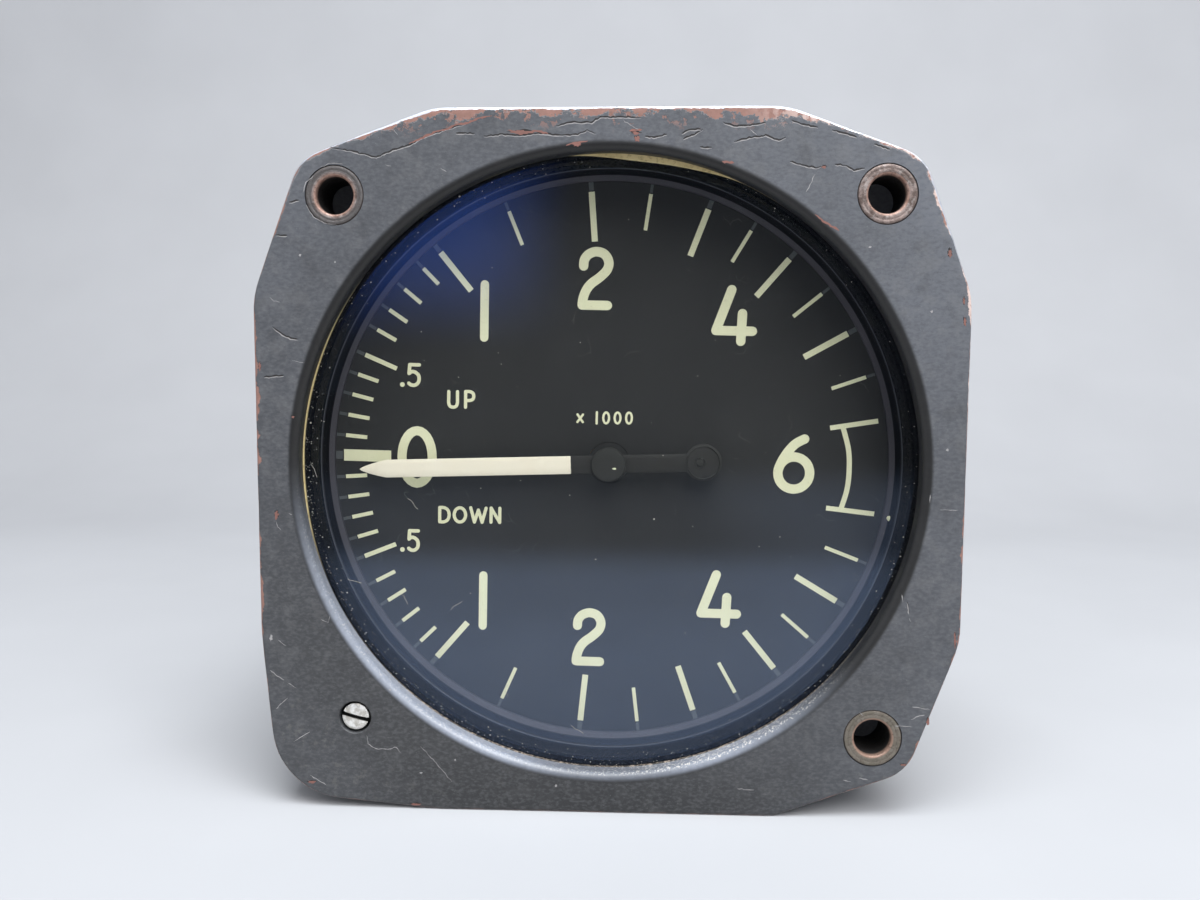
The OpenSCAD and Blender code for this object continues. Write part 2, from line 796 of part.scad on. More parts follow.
// Height of the capsule's surface over its rim plane at the radius r
function bulge(r) =
    let (edge = disc_r - rim_w, shoulder = edge - 2)
    r <= hub_flat_r ? capsule_half
    : r < shoulder ? capsule_half
        - ripple * (1 - cos(360 * ripples * (r - hub_flat_r) / (shoulder - hub_flat_r))) / 2
    : r < edge ? capsule_half + (sheet_t - capsule_half) * (r - shoulder) / (edge - shoulder)
    : sheet_t;

// Half of the capsule, on the side where way is -1 or 1, open within the radius hole
module capsule_shell(way, hole) {
    steps = 56;
    radii = [for (i = [0:steps]) hole + (disc_r - hole) * i / steps];
    turned(0, link_z) polygon(concat(
        [for (r = radii) [r, capsule_mid_y + way * bulge(r)]],
        [for (r = backwards(radii)) [r, capsule_mid_y + way * (bulge(r) - sheet_t)]]));
}

module capsule_rear_shell() {
    color("darkkhaki") capsule_shell(1, passage_r);
}

module capsule_front_diaphragm() {
    color("darkkhaki") capsule_shell(-1, 0);
}

module capsule_stem() {
    color("goldenrod") turned(0, link_z) polygon([
        [passage_r, stem_y], [stem_flange_r, stem_y], [stem_flange_r, carrier_y],
        [stem_thread_r, carrier_y], [stem_thread_r, carrier_y + carrier_t + nut_t],
        [stem_tail_r, carrier_y + carrier_t + nut_t], [stem_tail_r, tail_end_y],
        [tube_r, tail_end_y], [tube_r, tail_end_y - tube_seat], [passage_r, tail_end_y - tube_seat]]);
}

module stem_nut() {
    color("goldenrod") slab(carrier_y + carrier_t, nut_t) translate([0, link_z]) difference() {
        circle(nut_r, $fn = 6);
        circle(stem_thread_r);
    }
}

module carrier_plate() {
    color("silver") slab(carrier_y, carrier_t) difference() {
        union() {
            translate([0, link_z]) circle(9);
            for (s = [-1, 1]) {
                arm([s * 4, link_z], [s * standoff_x, standoff_z], 5);
                translate([s * standoff_x, standoff_z]) circle(3.2);
            }
            arm([0, link_z], [rod_x, rod_z], 4.5);
            translate([rod_x, rod_z]) circle(2.8);
        }
        translate([0, link_z]) circle(stem_thread_r);
        for (s = [-1, 1]) translate([s * standoff_x, standoff_z]) circle(small_screw_r);
    }
}

module carrier_standoffs() {
    color("silver") for (s = [-1, 1]) translate([s * standoff_x, 0, standoff_z]) {
        bar(carrier_y + carrier_t, rear_plate_y - carrier_y - carrier_t, standoff_r);
        bar(carrier_y, carrier_t + cut, small_screw_r);
        bar(carrier_y - 0.6, 0.6, standoff_r - 0.3);
        bar(rear_plate_y - cut, plate_t + cut, small_screw_r);
    }
}

module tube_section(swell = 0) {
    difference() {
        circle(tube_r + swell);
        circle(tube_bore_r - swell);
    }
}

// Bends are a little thicker than the straight tube, which reaches a short way into them
module tube_elbow(turn) {
    rotate([90, 0, 90]) rotate(turn) rotate_extrude(angle = bend_turn)
        translate([tube_bend, 0]) tube_section(tube_swell);
}

module static_tube() {
    seat_y = tail_end_y - tube_seat;
    bend_z = tube_bend * (1 - cos(bend_turn));
    run_y = tube_start_y + tube_bend * sin(bend_turn);
    color("peru") {
        slab(seat_y, tube_start_y - seat_y + tube_lap) translate([0, link_z]) tube_section();
        translate([0, tube_start_y, link_z + tube_bend]) tube_elbow(-90);
        translate([0, run_y, link_z + bend_z]) rotate([bend_turn - 90, 0, 0])
            translate([0, 0, -tube_lap]) linear_extrude(tube_run + 2 * tube_lap) tube_section();
        translate([0, tube_bends_end_y, port_at - tube_bend]) tube_elbow(90);
        slab(tube_bends_end_y - tube_lap, block_y + tube_seat - tube_bends_end_y + tube_lap)
            translate([0, port_at]) tube_section();
    }
}

module block_screw_places() {
    for (s = [-1, 1]) translate([block_left + 2.4, 0, port_at + block_screw_z * s]) children();
}

module port_block() {
    color("goldenrod") difference() {
        slab(block_y, block_t) translate([block_left, port_at - block_half_h])
            square([block_right - block_left, 2 * block_half_h]);
        bar(insert_y, insert_in + cut, insert_r, 0, port_at);
        bar(block_y - cut, tube_seat + cut, tube_r, 0, port_at);
        bar(block_y, insert_y - block_y + cut, passage_r, 0, port_at);
        bar(block_y - cut, 4 + cut, diffuser_thread_r, diffuser_x, port_at);
        crossbar(diffuser_x, -diffuser_x, passage_r, block_y + 3.4, port_at);
        block_screw_places() bar(block_y - cut, block_t + 2 * cut, small_screw_r);
    }
}

module block_screws() {
    color("silver") block_screw_places() small_screw(block_y, block_t + 2.3);
}

module diffuser_housing() {
    inner = diffuser_r - diffuser_wall;
    color("goldenrod") turned(diffuser_x, port_at) polygon([
        [inner, diffuser_y], [diffuser_r, diffuser_y], [diffuser_r, block_y],
        [diffuser_thread_r, block_y], [diffuser_thread_r, block_y + 3],
        [passage_r, block_y + 3], [passage_r, block_y - 2], [inner, block_y - 2]]);
}

module diffuser_core() {
    color("ivory") bar(diffuser_y + cap_t, diffuser_len - 2 - cap_t, diffuser_r - diffuser_wall - core_gap,
                       diffuser_x, port_at);
}

module diffuser_cap() {
    inner = diffuser_r - diffuser_wall;
    color("goldenrod") difference() {
        union() {
            bar(diffuser_y - 1, 1, diffuser_r, diffuser_x, port_at);
            bar(diffuser_y - cut, cap_t + cut, inner, diffuser_x, port_at);
        }
        for (a = [0:60:300])
            bar(diffuser_y - 1 - cut, cap_t + 1 + 2 * cut, 0.6,
                diffuser_x + 2.6 * cos(a), port_at + 2.6 * sin(a));
    }
}

module adjuster_seal() {
    color("black") turned(-screw_at, -screw_at)
        translate([screw_shank_r + shank_gap + oring_r, oring_y + oring_r + 0.02]) circle(oring_r);
}

module seal_washer() {
    color("silver") slab(washer_y, washer_t) translate([-screw_at, -screw_at]) difference() {
        circle(oring_pocket_r);
        circle(screw_shank_r + shank_gap);
    }
}

module boss_cover() {
    color("dimgray") difference() {
        bar(cover_y, cover_t, cavity_r - cover_gap, -screw_at, -screw_at);
        bar(cover_y - cut, 1.8 + cut, screw_tail_r + shank_gap, -screw_at, -screw_at);
        for (s = [-1, 1])
            bar(boss_end_y - 0.8, 0.8 + cut, 0.5, -screw_at + 2.2 * s, -screw_at);
    }
}

module adjuster_guide_pin() {
    color("silver") bar(front_plate_y, middle_plate_end - front_plate_y, guide_r, guide_x, guide_z);
}

module pointer() {
    shoulder = pointer_len - pointer_tip;
    half = pointer_w / 2;
    steps = 8;
    tip = [for (i = [0:steps]) [shoulder + pointer_tip * i / steps,
                                half * pow(1 - i / steps, 0.68)]];
    color("beige") slab(pointer_y, pointer_t) rotate(180 + pointer_droop) difference() {
        union() {
            polygon(concat([[0, -half]], mirrored(tip, 1, -1), backwards(tip), [[0, half]]));
            translate([-weight_at, -half * 0.98]) square([weight_at, pointer_w * 0.98]);
            translate([-weight_at, 0]) circle(weight_r);
            circle(hub_r - 0.05);
        }
        circle(hub_tube_r);
    }
}

module pointer_hub() {
    color("black") difference() {
        union() {
            bar(hub_y, hub_t, hub_r);
            bar(pointer_y - cut, hub_tube_len + cut, hub_tube_r);
        }
        bar(hub_y + 0.3, hub_t + hub_tube_len, staff_seat_r);
    }
}

module pointer_staff() {
    color("silver") turned() polygon([
        [0, hub_y + 0.35], [staff_seat_r, hub_y + 0.35], [staff_seat_r, dial_y + 0.3],
        [staff_r, dial_y + 0.3], [staff_r, front_plate_y - 0.3],
        [staff_front_pivot_r, front_plate_y - 0.3], [staff_front_pivot_r, front_plate_end + 0.3],
        [staff_r, front_plate_end + 0.3], [staff_r, middle_plate_y - 0.3],
        [staff_rear_pivot_r, middle_plate_y - 0.3], [staff_rear_pivot_r, middle_plate_end - 0.2],
        [0, middle_plate_end - 0.2]]);
}

module staff_pinion() {
    color("silver") slab(pinion_y, pinion_t) difference() {
        polygon(teeth_outline(pinion_teeth, gear_module, 180 + 180 / pinion_teeth, pinion_teeth));
        circle(staff_r);
    }
}

module hairspring_collet() {
    color("goldenrod") slab(hairspring_y - 0.4, hairspring_w + 0.8) difference() {
        circle(collet_r);
        circle(staff_r);
    }
}

module hairspring() {
    steps = 30 * hairspring_turns;
    grow = fit * hairspring_r - collet_r - hairspring_t / 2;
    start = stud_turn - 360 * hairspring_turns;
    function ribbon(side) = [for (i = [0:steps])
        let (a = start + 360 * hairspring_turns * i / steps,
             r = collet_r + hairspring_t / 2 + grow * i / steps + side * hairspring_t / 2)
        r * [cos(a), sin(a)]];
    color("steelblue") slab(hairspring_y, hairspring_w)
        polygon(concat(ribbon(1), backwards(ribbon(-1))));
}

module sector_gear() {
    first = -floor(sector_cut / 2) * 360 / sector_teeth;
    rim_r = sector_r - 3.6;
    window = concat(arc(rim_r, 7, 22, 6), arc(6, 22, 7, 6));
    color("goldenrod") slab(sector_y, sector_t) translate([arbor_x, 0]) difference() {
        union() {
            polygon(concat([[0, 0]], teeth_outline(sector_teeth, gear_module, first, sector_cut)));
            circle(sector_hub_r);
            strip([0, 0], [-sector_weight_at, 0], sector_tail_w);
            translate([-sector_weight_at, 0]) circle(sector_weight_r);
        }
        circle(arbor_r);
        translate([swing_arm, 0]) circle(drive_pin_r);
        polygon(window);
        polygon(mirrored(window, 1, -1));
    }
}

module sector_arbor() {
    color("silver") turned(arbor_x, 0) polygon([
        [0, front_plate_y + 0.2], [arbor_pivot_r, front_plate_y + 0.2],
        [arbor_pivot_r, front_plate_end + 0.3], [arbor_r, front_plate_end + 0.3],
        [arbor_r, middle_plate_y - 0.3], [arbor_pivot_r, middle_plate_y - 0.3],
        [arbor_pivot_r, middle_plate_end - 0.2], [0, middle_plate_end - 0.2]]);
}

module drive_pin() {
    color("silver") bar(sector_y, drive_pin_end - sector_y, drive_pin_r, drive_x, 0);
}

module rocking_shaft() {
    reach = bracket_x + bracket_t;
    color("silver") {
        crossbar(-fit * shaft_half, 2 * fit * shaft_half, shaft_r, shaft_y, shaft_z);
        crossbar(-reach, 2 * reach, shaft_pivot_r, shaft_y, shaft_z);
    }
}

module finger_arm() {
    color("goldenrod") difference() {
        union() {
            crossbar(finger_arm_x, 2.2, collar_r, shaft_y, shaft_z);
            upright(finger_arm_x, finger_arm_t)
                strip([finger_y, shaft_z], [shaft_y, shaft_z], arm_w);
            crossbar(finger_arm_x + cut, finger_end_x - finger_arm_x - cut, finger_r,
                     finger_y, shaft_z);
        }
        crossbar(finger_arm_x - cut, 4, shaft_r, shaft_y, shaft_z);
    }
}

module link_arm() {
    pin_end = -link_t / 2 - 0.5;
    color("goldenrod") difference() {
        union() {
            crossbar(link_arm_x, 2.2, collar_r, shaft_y, shaft_z);
            upright(link_arm_x, finger_arm_t)
                strip([shaft_y, shaft_z], [shaft_y, link_z], arm_w);
            crossbar(pin_end, link_arm_x + cut - pin_end, link_pin_r, shaft_y, link_z);
        }
        crossbar(link_arm_x - cut, 4, shaft_r, shaft_y, shaft_z);
    }
}

module shaft_counterweight() {
    color("goldenrod") upright(shaft_weight_x, 2) difference() {
        union() {
            strip([shaft_y, shaft_z], [shaft_y + shaft_weight_at, shaft_z], 2.4);
            translate([shaft_y, shaft_z]) circle(collar_r);
            translate([shaft_y + shaft_weight_at, shaft_z]) circle(shaft_weight_r);
        }
        translate([shaft_y, shaft_z]) circle(shaft_r);
    }
}

module capsule_link() {
    rod_y = shaft_y + 2.4;
    slot_drop = link_arm_len * (1 - cos(sector_swing));
    color("silver") {
        upright(-link_t / 2, link_t) difference() {
            strip([shaft_y, link_z], [rod_y + 1, link_z], 2 * link_end_half);
            strip([shaft_y, link_z - slot_drop - 0.02], [shaft_y, link_z + 0.02],
                  2 * (link_pin_r + link_pin_gap));
        }
        bar(rod_y, capsule_y - link_disc_t - rod_y + cut / 2, link_rod_r, 0, link_z);
        bar(capsule_y - link_disc_t, link_disc_t, link_disc_r, 0, link_z);
    }
}

module zero_screw() {
    shank_end = gear_end_y + 0.9;
    color("gainsboro") difference() {
        union() {
            bar(head_y, head_t, screw_head_r, -screw_at, -screw_at);
            bar(head_y + head_t - cut, shank_end - head_y - head_t + cut, screw_shank_r,
                -screw_at, -screw_at);
            bar(shank_end - cut, cover_y + 1.6 - shank_end + cut, screw_tail_r,
                -screw_at, -screw_at);
        }
        translate([-screw_at, 0, -screw_at]) front_slot(head_y, slot_w, 0.9, slot_turn);
    }
}

module adjuster_pinion() {
    color("goldenrod") slab(gear_y - 0.2, adjuster_gear_t + 0.4)
        translate([-screw_at, -screw_at]) difference() {
            polygon(teeth_outline(adjuster_pinion_teeth, adjuster_module, 45,
                                  adjuster_pinion_teeth));
            circle(screw_shank_r);
        }
}

module adjuster_gear() {
    color("goldenrod") slab(gear_y, adjuster_gear_t) translate([-lead_at, -lead_at]) difference() {
        polygon(teeth_outline(adjuster_gear_teeth, adjuster_module,
                              225 + 180 / adjuster_gear_teeth, adjuster_gear_teeth));
        circle(lead_journal_r);
    }
}

module adjuster_shaft() {
    collar_end = front_plate_end + 1.2;
    color("silver") turned(-lead_at, -lead_at) polygon([
        [0, gear_y - 0.3], [lead_journal_r, gear_y - 0.3],
        [lead_journal_r, front_plate_end + 0.2], [lead_r + 0.4, front_plate_end + 0.2],
        [lead_r + 0.4, collar_end], [lead_r, collar_end], [lead_r, middle_plate_y - 0.3],
        [lead_pivot_r, middle_plate_y - 0.3], [lead_pivot_r, middle_plate_end - 0.2],
        [0, middle_plate_end - 0.2]]);
}

module adjuster_carriage() {
    lead = [-lead_at, -lead_at];
    guide = [guide_x, guide_z];
    rod = [rod_x, rod_z];
    color("goldenrod") {
        slab(carriage_y, carriage_t) difference() {
            union() {
                strip(lead, guide, 4.2);
                strip(lead, rod, 4.2);
            }
            translate(lead) circle(lead_r + lead_gap);
            translate(guide) circle(guide_r + lead_gap);
        }
        bar(carriage_y + carriage_t - cut, carrier_y - rod_gap - carriage_y - carriage_t + cut,
            rod_r, rod_x, rod_z);
    }
}

flange_casting();
mounting_bushings();
glass_gasket();
cover_glass();
dial_mask_ring();
dial_plate();
case_body();
case_seal();
case_screws();
static_port_insert();
movement_screws();
movement_posts();
front_plate();
middle_plate();
rear_plate();
short_pillars();
long_pillars();
pillar_screws();
staff_jewels();
sector_jewels();
banking_pins();
shaft_brackets();
bracket_screws();
hairspring_stud();
capsule_rear_shell();
capsule_front_diaphragm();
capsule_stem();
stem_nut();
carrier_plate();
carrier_standoffs();
static_tube();
port_block();
block_screws();
diffuser_housing();
diffuser_core();
diffuser_cap();
adjuster_seal();
seal_washer();
boss_cover();
adjuster_guide_pin();
pointer();
pointer_hub();
pointer_staff();
staff_pinion();
hairspring_collet();
hairspring();
sector_gear();
sector_arbor();
drive_pin();
rocking_shaft();
finger_arm();
link_arm();
shaft_counterweight();
capsule_link();
zero_screw();
adjuster_pinion();
adjuster_gear();
adjuster_shaft();
adjuster_carriage();
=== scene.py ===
# %% [markdown]
# # A vertical speed indicator
#
# This instrument sits in an aircraft's panel and shows how fast the aircraft climbs or sinks. The CAD
# model is the frame. Its meshes could be rendered as they are, but they have no worn edges, signs or
# dust. So the pieces that show are built again in Blender, and each one rides on a body of the frame.
# That way the pointer and the zero screw still turn.
#
# Shapes are given in millimetres, in the frame's own axes: X to the right, Y into the case, Z up, with
# the origin on the axis in the plane of the flange's back face.

import json
import math
import random

import bmesh
import bpy
from mathutils import Matrix, Vector, noise
from mathutils.geometry import delaunay_2d_cdt


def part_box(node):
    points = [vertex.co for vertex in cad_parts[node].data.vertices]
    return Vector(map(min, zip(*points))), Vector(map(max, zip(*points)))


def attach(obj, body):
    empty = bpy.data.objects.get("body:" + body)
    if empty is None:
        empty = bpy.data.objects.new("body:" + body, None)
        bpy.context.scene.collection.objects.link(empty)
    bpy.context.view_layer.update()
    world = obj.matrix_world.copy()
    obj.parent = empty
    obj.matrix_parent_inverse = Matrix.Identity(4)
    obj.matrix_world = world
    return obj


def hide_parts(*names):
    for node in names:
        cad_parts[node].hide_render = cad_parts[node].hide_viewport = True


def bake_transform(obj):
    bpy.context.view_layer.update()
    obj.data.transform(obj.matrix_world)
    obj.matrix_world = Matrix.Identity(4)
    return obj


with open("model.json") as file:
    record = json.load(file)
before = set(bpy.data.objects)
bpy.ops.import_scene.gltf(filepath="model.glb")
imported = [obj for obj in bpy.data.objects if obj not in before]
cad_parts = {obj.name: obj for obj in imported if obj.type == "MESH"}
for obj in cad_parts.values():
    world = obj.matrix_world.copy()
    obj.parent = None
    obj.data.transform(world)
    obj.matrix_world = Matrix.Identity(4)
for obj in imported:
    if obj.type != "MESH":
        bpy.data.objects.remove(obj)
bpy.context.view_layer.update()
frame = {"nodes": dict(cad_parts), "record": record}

# %% [markdown]
# ## Sizes
# Every size could be typed in, but a changed frame would then no longer match. So the main sizes come
# from the boxes of the CAD nodes. The rest are named here, where more than one piece uses them.

# %% Sizes in millimetres
def span(node):
    """The lowest and highest corner of a CAD node, in millimetres."""
    low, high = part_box(node)
    return [v * 1000 for v in low], [v * 1000 for v in high]


flange_low, flange_high = span("flange_casting")
mask_low, mask_high = span("dial_mask_ring")
glass_low, glass_high = span("cover_glass")
_, case_high = span("case_body")
front = flange_low[1]
half_flange = flange_high[0]
glass_front, glass_back = glass_low[1], glass_high[1]
dial_front = mask_high[1]

skirt_r, skirt_end = 39.5, 14.0
bore_r = 37.9
slide = bore_r - 0.2
lip_r, lip_round, lip_back = 36.4, 0.86, front + 2

half_pitch = 31.435
mounting_places = [(half_pitch, half_pitch), (half_pitch, -half_pitch), (-half_pitch, half_pitch)]
bushing_r, bushing_gap, lug_end = 3.4, 0.03, 8.4

zero_screw_place = (-30.05, -30.05)
screw_hole_r, screw_gap = 1.92, 0.12

pointer_turn = math.radians(181.6)
print("flange", round(2 * half_flange, 2), "mm wide, its front at", round(front, 2), "mm")

# %% [markdown]
# ## The camera's place
# A camera can be moved by hand until the outlines seem to agree. This one was worked out instead, from
# the flange's outline and its holes: it looks from the front, a little from above. It comes this early
# because `seen` turns a spot of the 1200 x 900 photograph into a place on the object, so that scratches
# and chips of the paint can be put where they are.

# %% Place, lean and view
camera_place = Vector((3.81, -121.8, 12.23))
lean = Vector([math.radians(v) for v in (4.89, 2.29, 0.35)])
view = Matrix.Rotation(lean.length, 3, lean.normalized()) @ Matrix(((1, 0, 0), (0, 0, -1), (0, 1, 0)))
focal = 1000
photo_middle = (600, 450)


def seen(spot, y=front):
    """Where the ray through a spot of the photograph meets the plane at this y, as (x, z)."""
    across, down = spot[0] - photo_middle[0], spot[1] - photo_middle[1]
    ray = view.transposed() @ Vector((across / focal, down / focal, 1))
    hit = camera_place + ray * ((y - camera_place.y) / ray.y)
    return hit.x, hit.z


print("middle of the photograph:", [round(v, 1) for v in seen(photo_middle)])

# %% [markdown]
# ## Mesh tools
# Most pieces of an instrument are turned on a lathe or cast. They could be made of Blender's cylinders
# with bevels and booleans. But a boolean leaves ragged faces where thin walls meet, and a bevel treats
# all edges alike. Here the points are worked out, which gives each edge its own form. Everything begins
# with points on circles and arcs.

# %% Circles, arcs and rounded corners
def turns(steps, start=0.0):
    return [start + 2 * math.pi * i / steps for i in range(steps)]


def circle(r, steps, centre=(0, 0), start=0.0):
    return [(centre[0] + r * math.cos(a), centre[1] + r * math.sin(a)) for a in turns(steps, start)]


def arc(r, start, end, steps, centre=(0, 0)):
    """Points on an arc, in degrees."""
    return [(centre[0] + r * math.cos(math.radians(start + (end - start) * i / steps)),
             centre[1] + r * math.sin(math.radians(start + (end - start) * i / steps)))
            for i in range(steps + 1)]


def rounded(corner, radius, start, end, steps=4):
    """A rounded corner of a profile: centre, radius and the two angles."""
    return arc(radius, start, end, steps, corner)


print("a circle of radius 10 in 4 steps:", [(round(x), round(z)) for x, z in circle(10, 4)])

# %% [markdown]
# A `Shape` gathers the points and faces of one piece. Rings with the same number of points are joined by
# walls, and a profile that is turned about an axis becomes a lathed part. Each point can carry a note, a
# number that the material reads later.

# %% The shape builder
class Shape:
    """Points and faces of one piece, in millimetres."""

    def __init__(self):
        self.points, self.faces, self.notes = [], [], []

    def add(self, points, faces, note=0.0):
        start = len(self.points)
        self.points += [tuple(p) for p in points]
        notes = note if isinstance(note, list) else [note] * len(points)
        self.notes += notes
        self.faces += [[start + i for i in face] for face in faces]
        return start

    def walls(self, rings, closed=True, caps=(False, False), note=0.0):
        """Joins rings with the same number of points."""
        count = len(rings[0])
        points = [p for ring in rings for p in ring]
        faces = []
        for k in range(len(rings) - 1):
            for i in range(count if closed else count - 1):
                j = (i + 1) % count
                faces.append([k * count + i, k * count + j, (k + 1) * count + j, (k + 1) * count + i])
        if caps[0]:
            faces.append(list(range(count))[::-1])
        if caps[1]:
            faces.append([(len(rings) - 1) * count + i for i in range(count)])
        self.add(points, faces, note)

    def turned(self, profile, centre=(0, 0), steps=96, loop=True, caps=(False, False)):
        """Turns a profile of (radius, y) about the axis through centre."""
        rings = [[(x, y, z) for x, z in circle(r, steps, centre)] for r, y in profile]
        if loop:
            rings.append(rings[0])
        self.walls(rings, caps=caps)


sample = Shape()
sample.turned([(1, 0), (2, 0), (2, 1), (1, 1)], steps=8)
print("a square profile turned in 8 steps makes", len(sample.faces), "faces")

# %% [markdown]
# A flat face with holes could be one big polygon, but the front of an old casting isn't quite flat, and a
# polygon can't bend. So the area is cut into small triangles. Blender's own triangulation joins the
# outline, the holes and uneven grid points between them.

# %% Fills of small triangles
def inside(point, polygon):
    x, z = point
    hit = False
    for (ax, az), (bx, bz) in zip(polygon, polygon[1:] + polygon[:1]):
        if (az > z) != (bz > z) and x < (bx - ax) * (z - az) / (bz - az) + ax:
            hit = not hit
    return hit


def near(p, loop):
    """Distance from a point to a closed outline."""
    best = 1e9
    for (ax, az), (bx, bz) in zip(loop, loop[1:] + loop[:1]):
        dx, dz = bx - ax, bz - az
        t = max(0.0, min(1.0, ((p[0] - ax) * dx + (p[1] - az) * dz) / (dx * dx + dz * dz + 1e-12)))
        best = min(best, (p[0] - ax - t * dx) ** 2 + (p[1] - az - t * dz) ** 2)
    return math.sqrt(best)


def filled(outline, holes=(), extra=(), lines=()):
    """Triangles between an outline and its holes. Returns the points and the triangles."""
    points, edges = [], []
    for loop in [outline, *holes]:
        start = len(points)
        points += loop
        edges += [(start + i, start + (i + 1) % len(loop)) for i in range(len(loop))]
    for line in lines:
        start = len(points)
        points += line
        edges += [(start + i, start + i + 1) for i in range(len(line) - 1)]
    points += list(extra)
    flat, _, triangles, *_ = delaunay_2d_cdt([Vector(p) for p in points], edges, [], 0, 1e-5)
    kept = []
    for t in triangles:
        middle = (sum(flat[i].x for i in t) / len(t), sum(flat[i].y for i in t) / len(t))
        if inside(middle, outline) and not any(inside(middle, hole) for hole in holes):
            kept.append(list(t))
    return [(p.x, p.y) for p in flat], kept


def scattered(outline, holes, step, margin, seed=1):
    """Uneven grid points inside an outline, a margin away from its edges and holes."""
    rng = random.Random(seed)
    xs, zs = [p[0] for p in outline], [p[1] for p in outline]
    found = []
    rows = int((max(zs) - min(zs)) / step) + 1
    columns = int((max(xs) - min(xs)) / step) + 1
    for r in range(rows):
        for c in range(columns):
            p = (min(xs) + (c + 0.5 * (r % 2) + rng.uniform(-0.28, 0.28)) * step,
                 min(zs) + (r + rng.uniform(-0.28, 0.28)) * step)
            if not inside(p, outline) or any(inside(p, hole) for hole in holes):
                continue
            if min(near(p, loop) for loop in [outline, *holes]) > margin:
                found.append(p)
    return found


plate = circle(10, 48)
plate_faces = filled(plate, (), scattered(plate, (), 2, 1))[1]
print("a disc of radius 10 with points 2 mm apart:", len(plate_faces), "triangles")

# %% [markdown]
# A finished shape becomes an object. Points that coincide are merged and all faces turned outward, since
# shading goes wrong without that. Smooth shading stops at edges past the sharp angle. The piece then
# rides on its body, gets a material slot, and hides the CAD nodes it stands in for.

# %% From a shape to a piece
def piece(name, shape, slot=None, finish=None, body="case", sharp=35, replaces=()):
    """Makes the object. Its finish is the one of its slot, unless another is given."""
    mesh = bpy.data.meshes.new(name)
    mesh.from_pydata([(x / 1000, y / 1000, z / 1000) for x, y, z in shape.points], [], shape.faces)
    if any(shape.notes):
        mesh.attributes.new("edge", "FLOAT", "POINT").data.foreach_set("value", shape.notes)
    mesh.validate()
    obj = bpy.data.objects.new(name, mesh)
    bpy.context.scene.collection.objects.link(obj)
    merge_and_aim(obj)
    mesh.shade_smooth()
    mesh.set_sharp_from_angle(angle=math.radians(sharp))
    mesh.materials.append(finish or finishes[slot])
    if body:
        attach(obj, body)
    if replaces:
        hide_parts(*replaces)
    return obj


def merge_and_aim(obj):
    """Joins points that coincide and turns every face outward."""
    work = bmesh.new()
    work.from_mesh(obj.data)
    bmesh.ops.remove_doubles(work, verts=work.verts, dist=2e-6)
    bmesh.ops.dissolve_degenerate(work, edges=work.edges, dist=1e-7)
    bmesh.ops.recalc_face_normals(work, faces=work.faces)
    work.to_mesh(obj.data)
    work.free()


print("pieces ride on the case unless told otherwise")

# %% [markdown]
# ## Materials
# A finish could be a painted picture wrapped round a piece, but it would blur close up, and the mesh would
# need a flat layout. Shader nodes are sharp at any distance. Wiring them one by one takes many lines, so
# a material is written as arithmetic: `Value` is a number that differs from point to point, and adding
# or multiplying two of them makes the node that does it.

# %% One number inside a material
class Value:
    def __init__(self, tree, socket):
        self.tree, self.socket = tree, socket

    def math(self, operation, *others, swap=False):
        node = self.tree.nodes.new("ShaderNodeMath")
        node.operation = operation
        terms = [self, *others]
        if swap:
            terms.reverse()
        for place, term in zip(node.inputs, terms):
            if isinstance(term, Value):
                self.tree.links.new(term.socket, place)
            else:
                place.default_value = term
        return Value(self.tree, node.outputs[0])

    def __add__(self, other):
        return self.math("ADD", other)

    __radd__ = __add__

    def __mul__(self, other):
        return self.math("MULTIPLY", other)

    __rmul__ = __mul__

    def __sub__(self, other):
        return self.math("SUBTRACT", other)

    def __rsub__(self, other):
        return self.math("SUBTRACT", other, swap=True)

    def __pow__(self, other):
        return self.math("POWER", other)

    def most(self, other):
        return self.math("MAXIMUM", other)

    def least(self, other):
        return self.math("MINIMUM", other)

    def size(self):
        return self.math("ABSOLUTE")

    def ramp(self, low, high):
        """0 below low, 1 above high, smooth between. It falls when low is above high."""
        node = self.tree.nodes.new("ShaderNodeMapRange")
        node.interpolation_type = "SMOOTHSTEP"
        swap = low > high
        self.tree.links.new(self.socket, node.inputs["Value"])
        node.inputs["From Min"].default_value = min(low, high)
        node.inputs["From Max"].default_value = max(low, high)
        node.inputs["To Min"].default_value = 1.0 if swap else 0.0
        node.inputs["To Max"].default_value = 0.0 if swap else 1.0
        return Value(self.tree, node.outputs[0])


def tools(kind):
    return ", ".join(name for name in vars(kind) if name[0] != "_")


print("tools for values:", tools(Value))

# %% [markdown]
# `Nodes` starts a material and knows where a point is. It counts in millimetres, so every length in the
# finishes below is a real one.

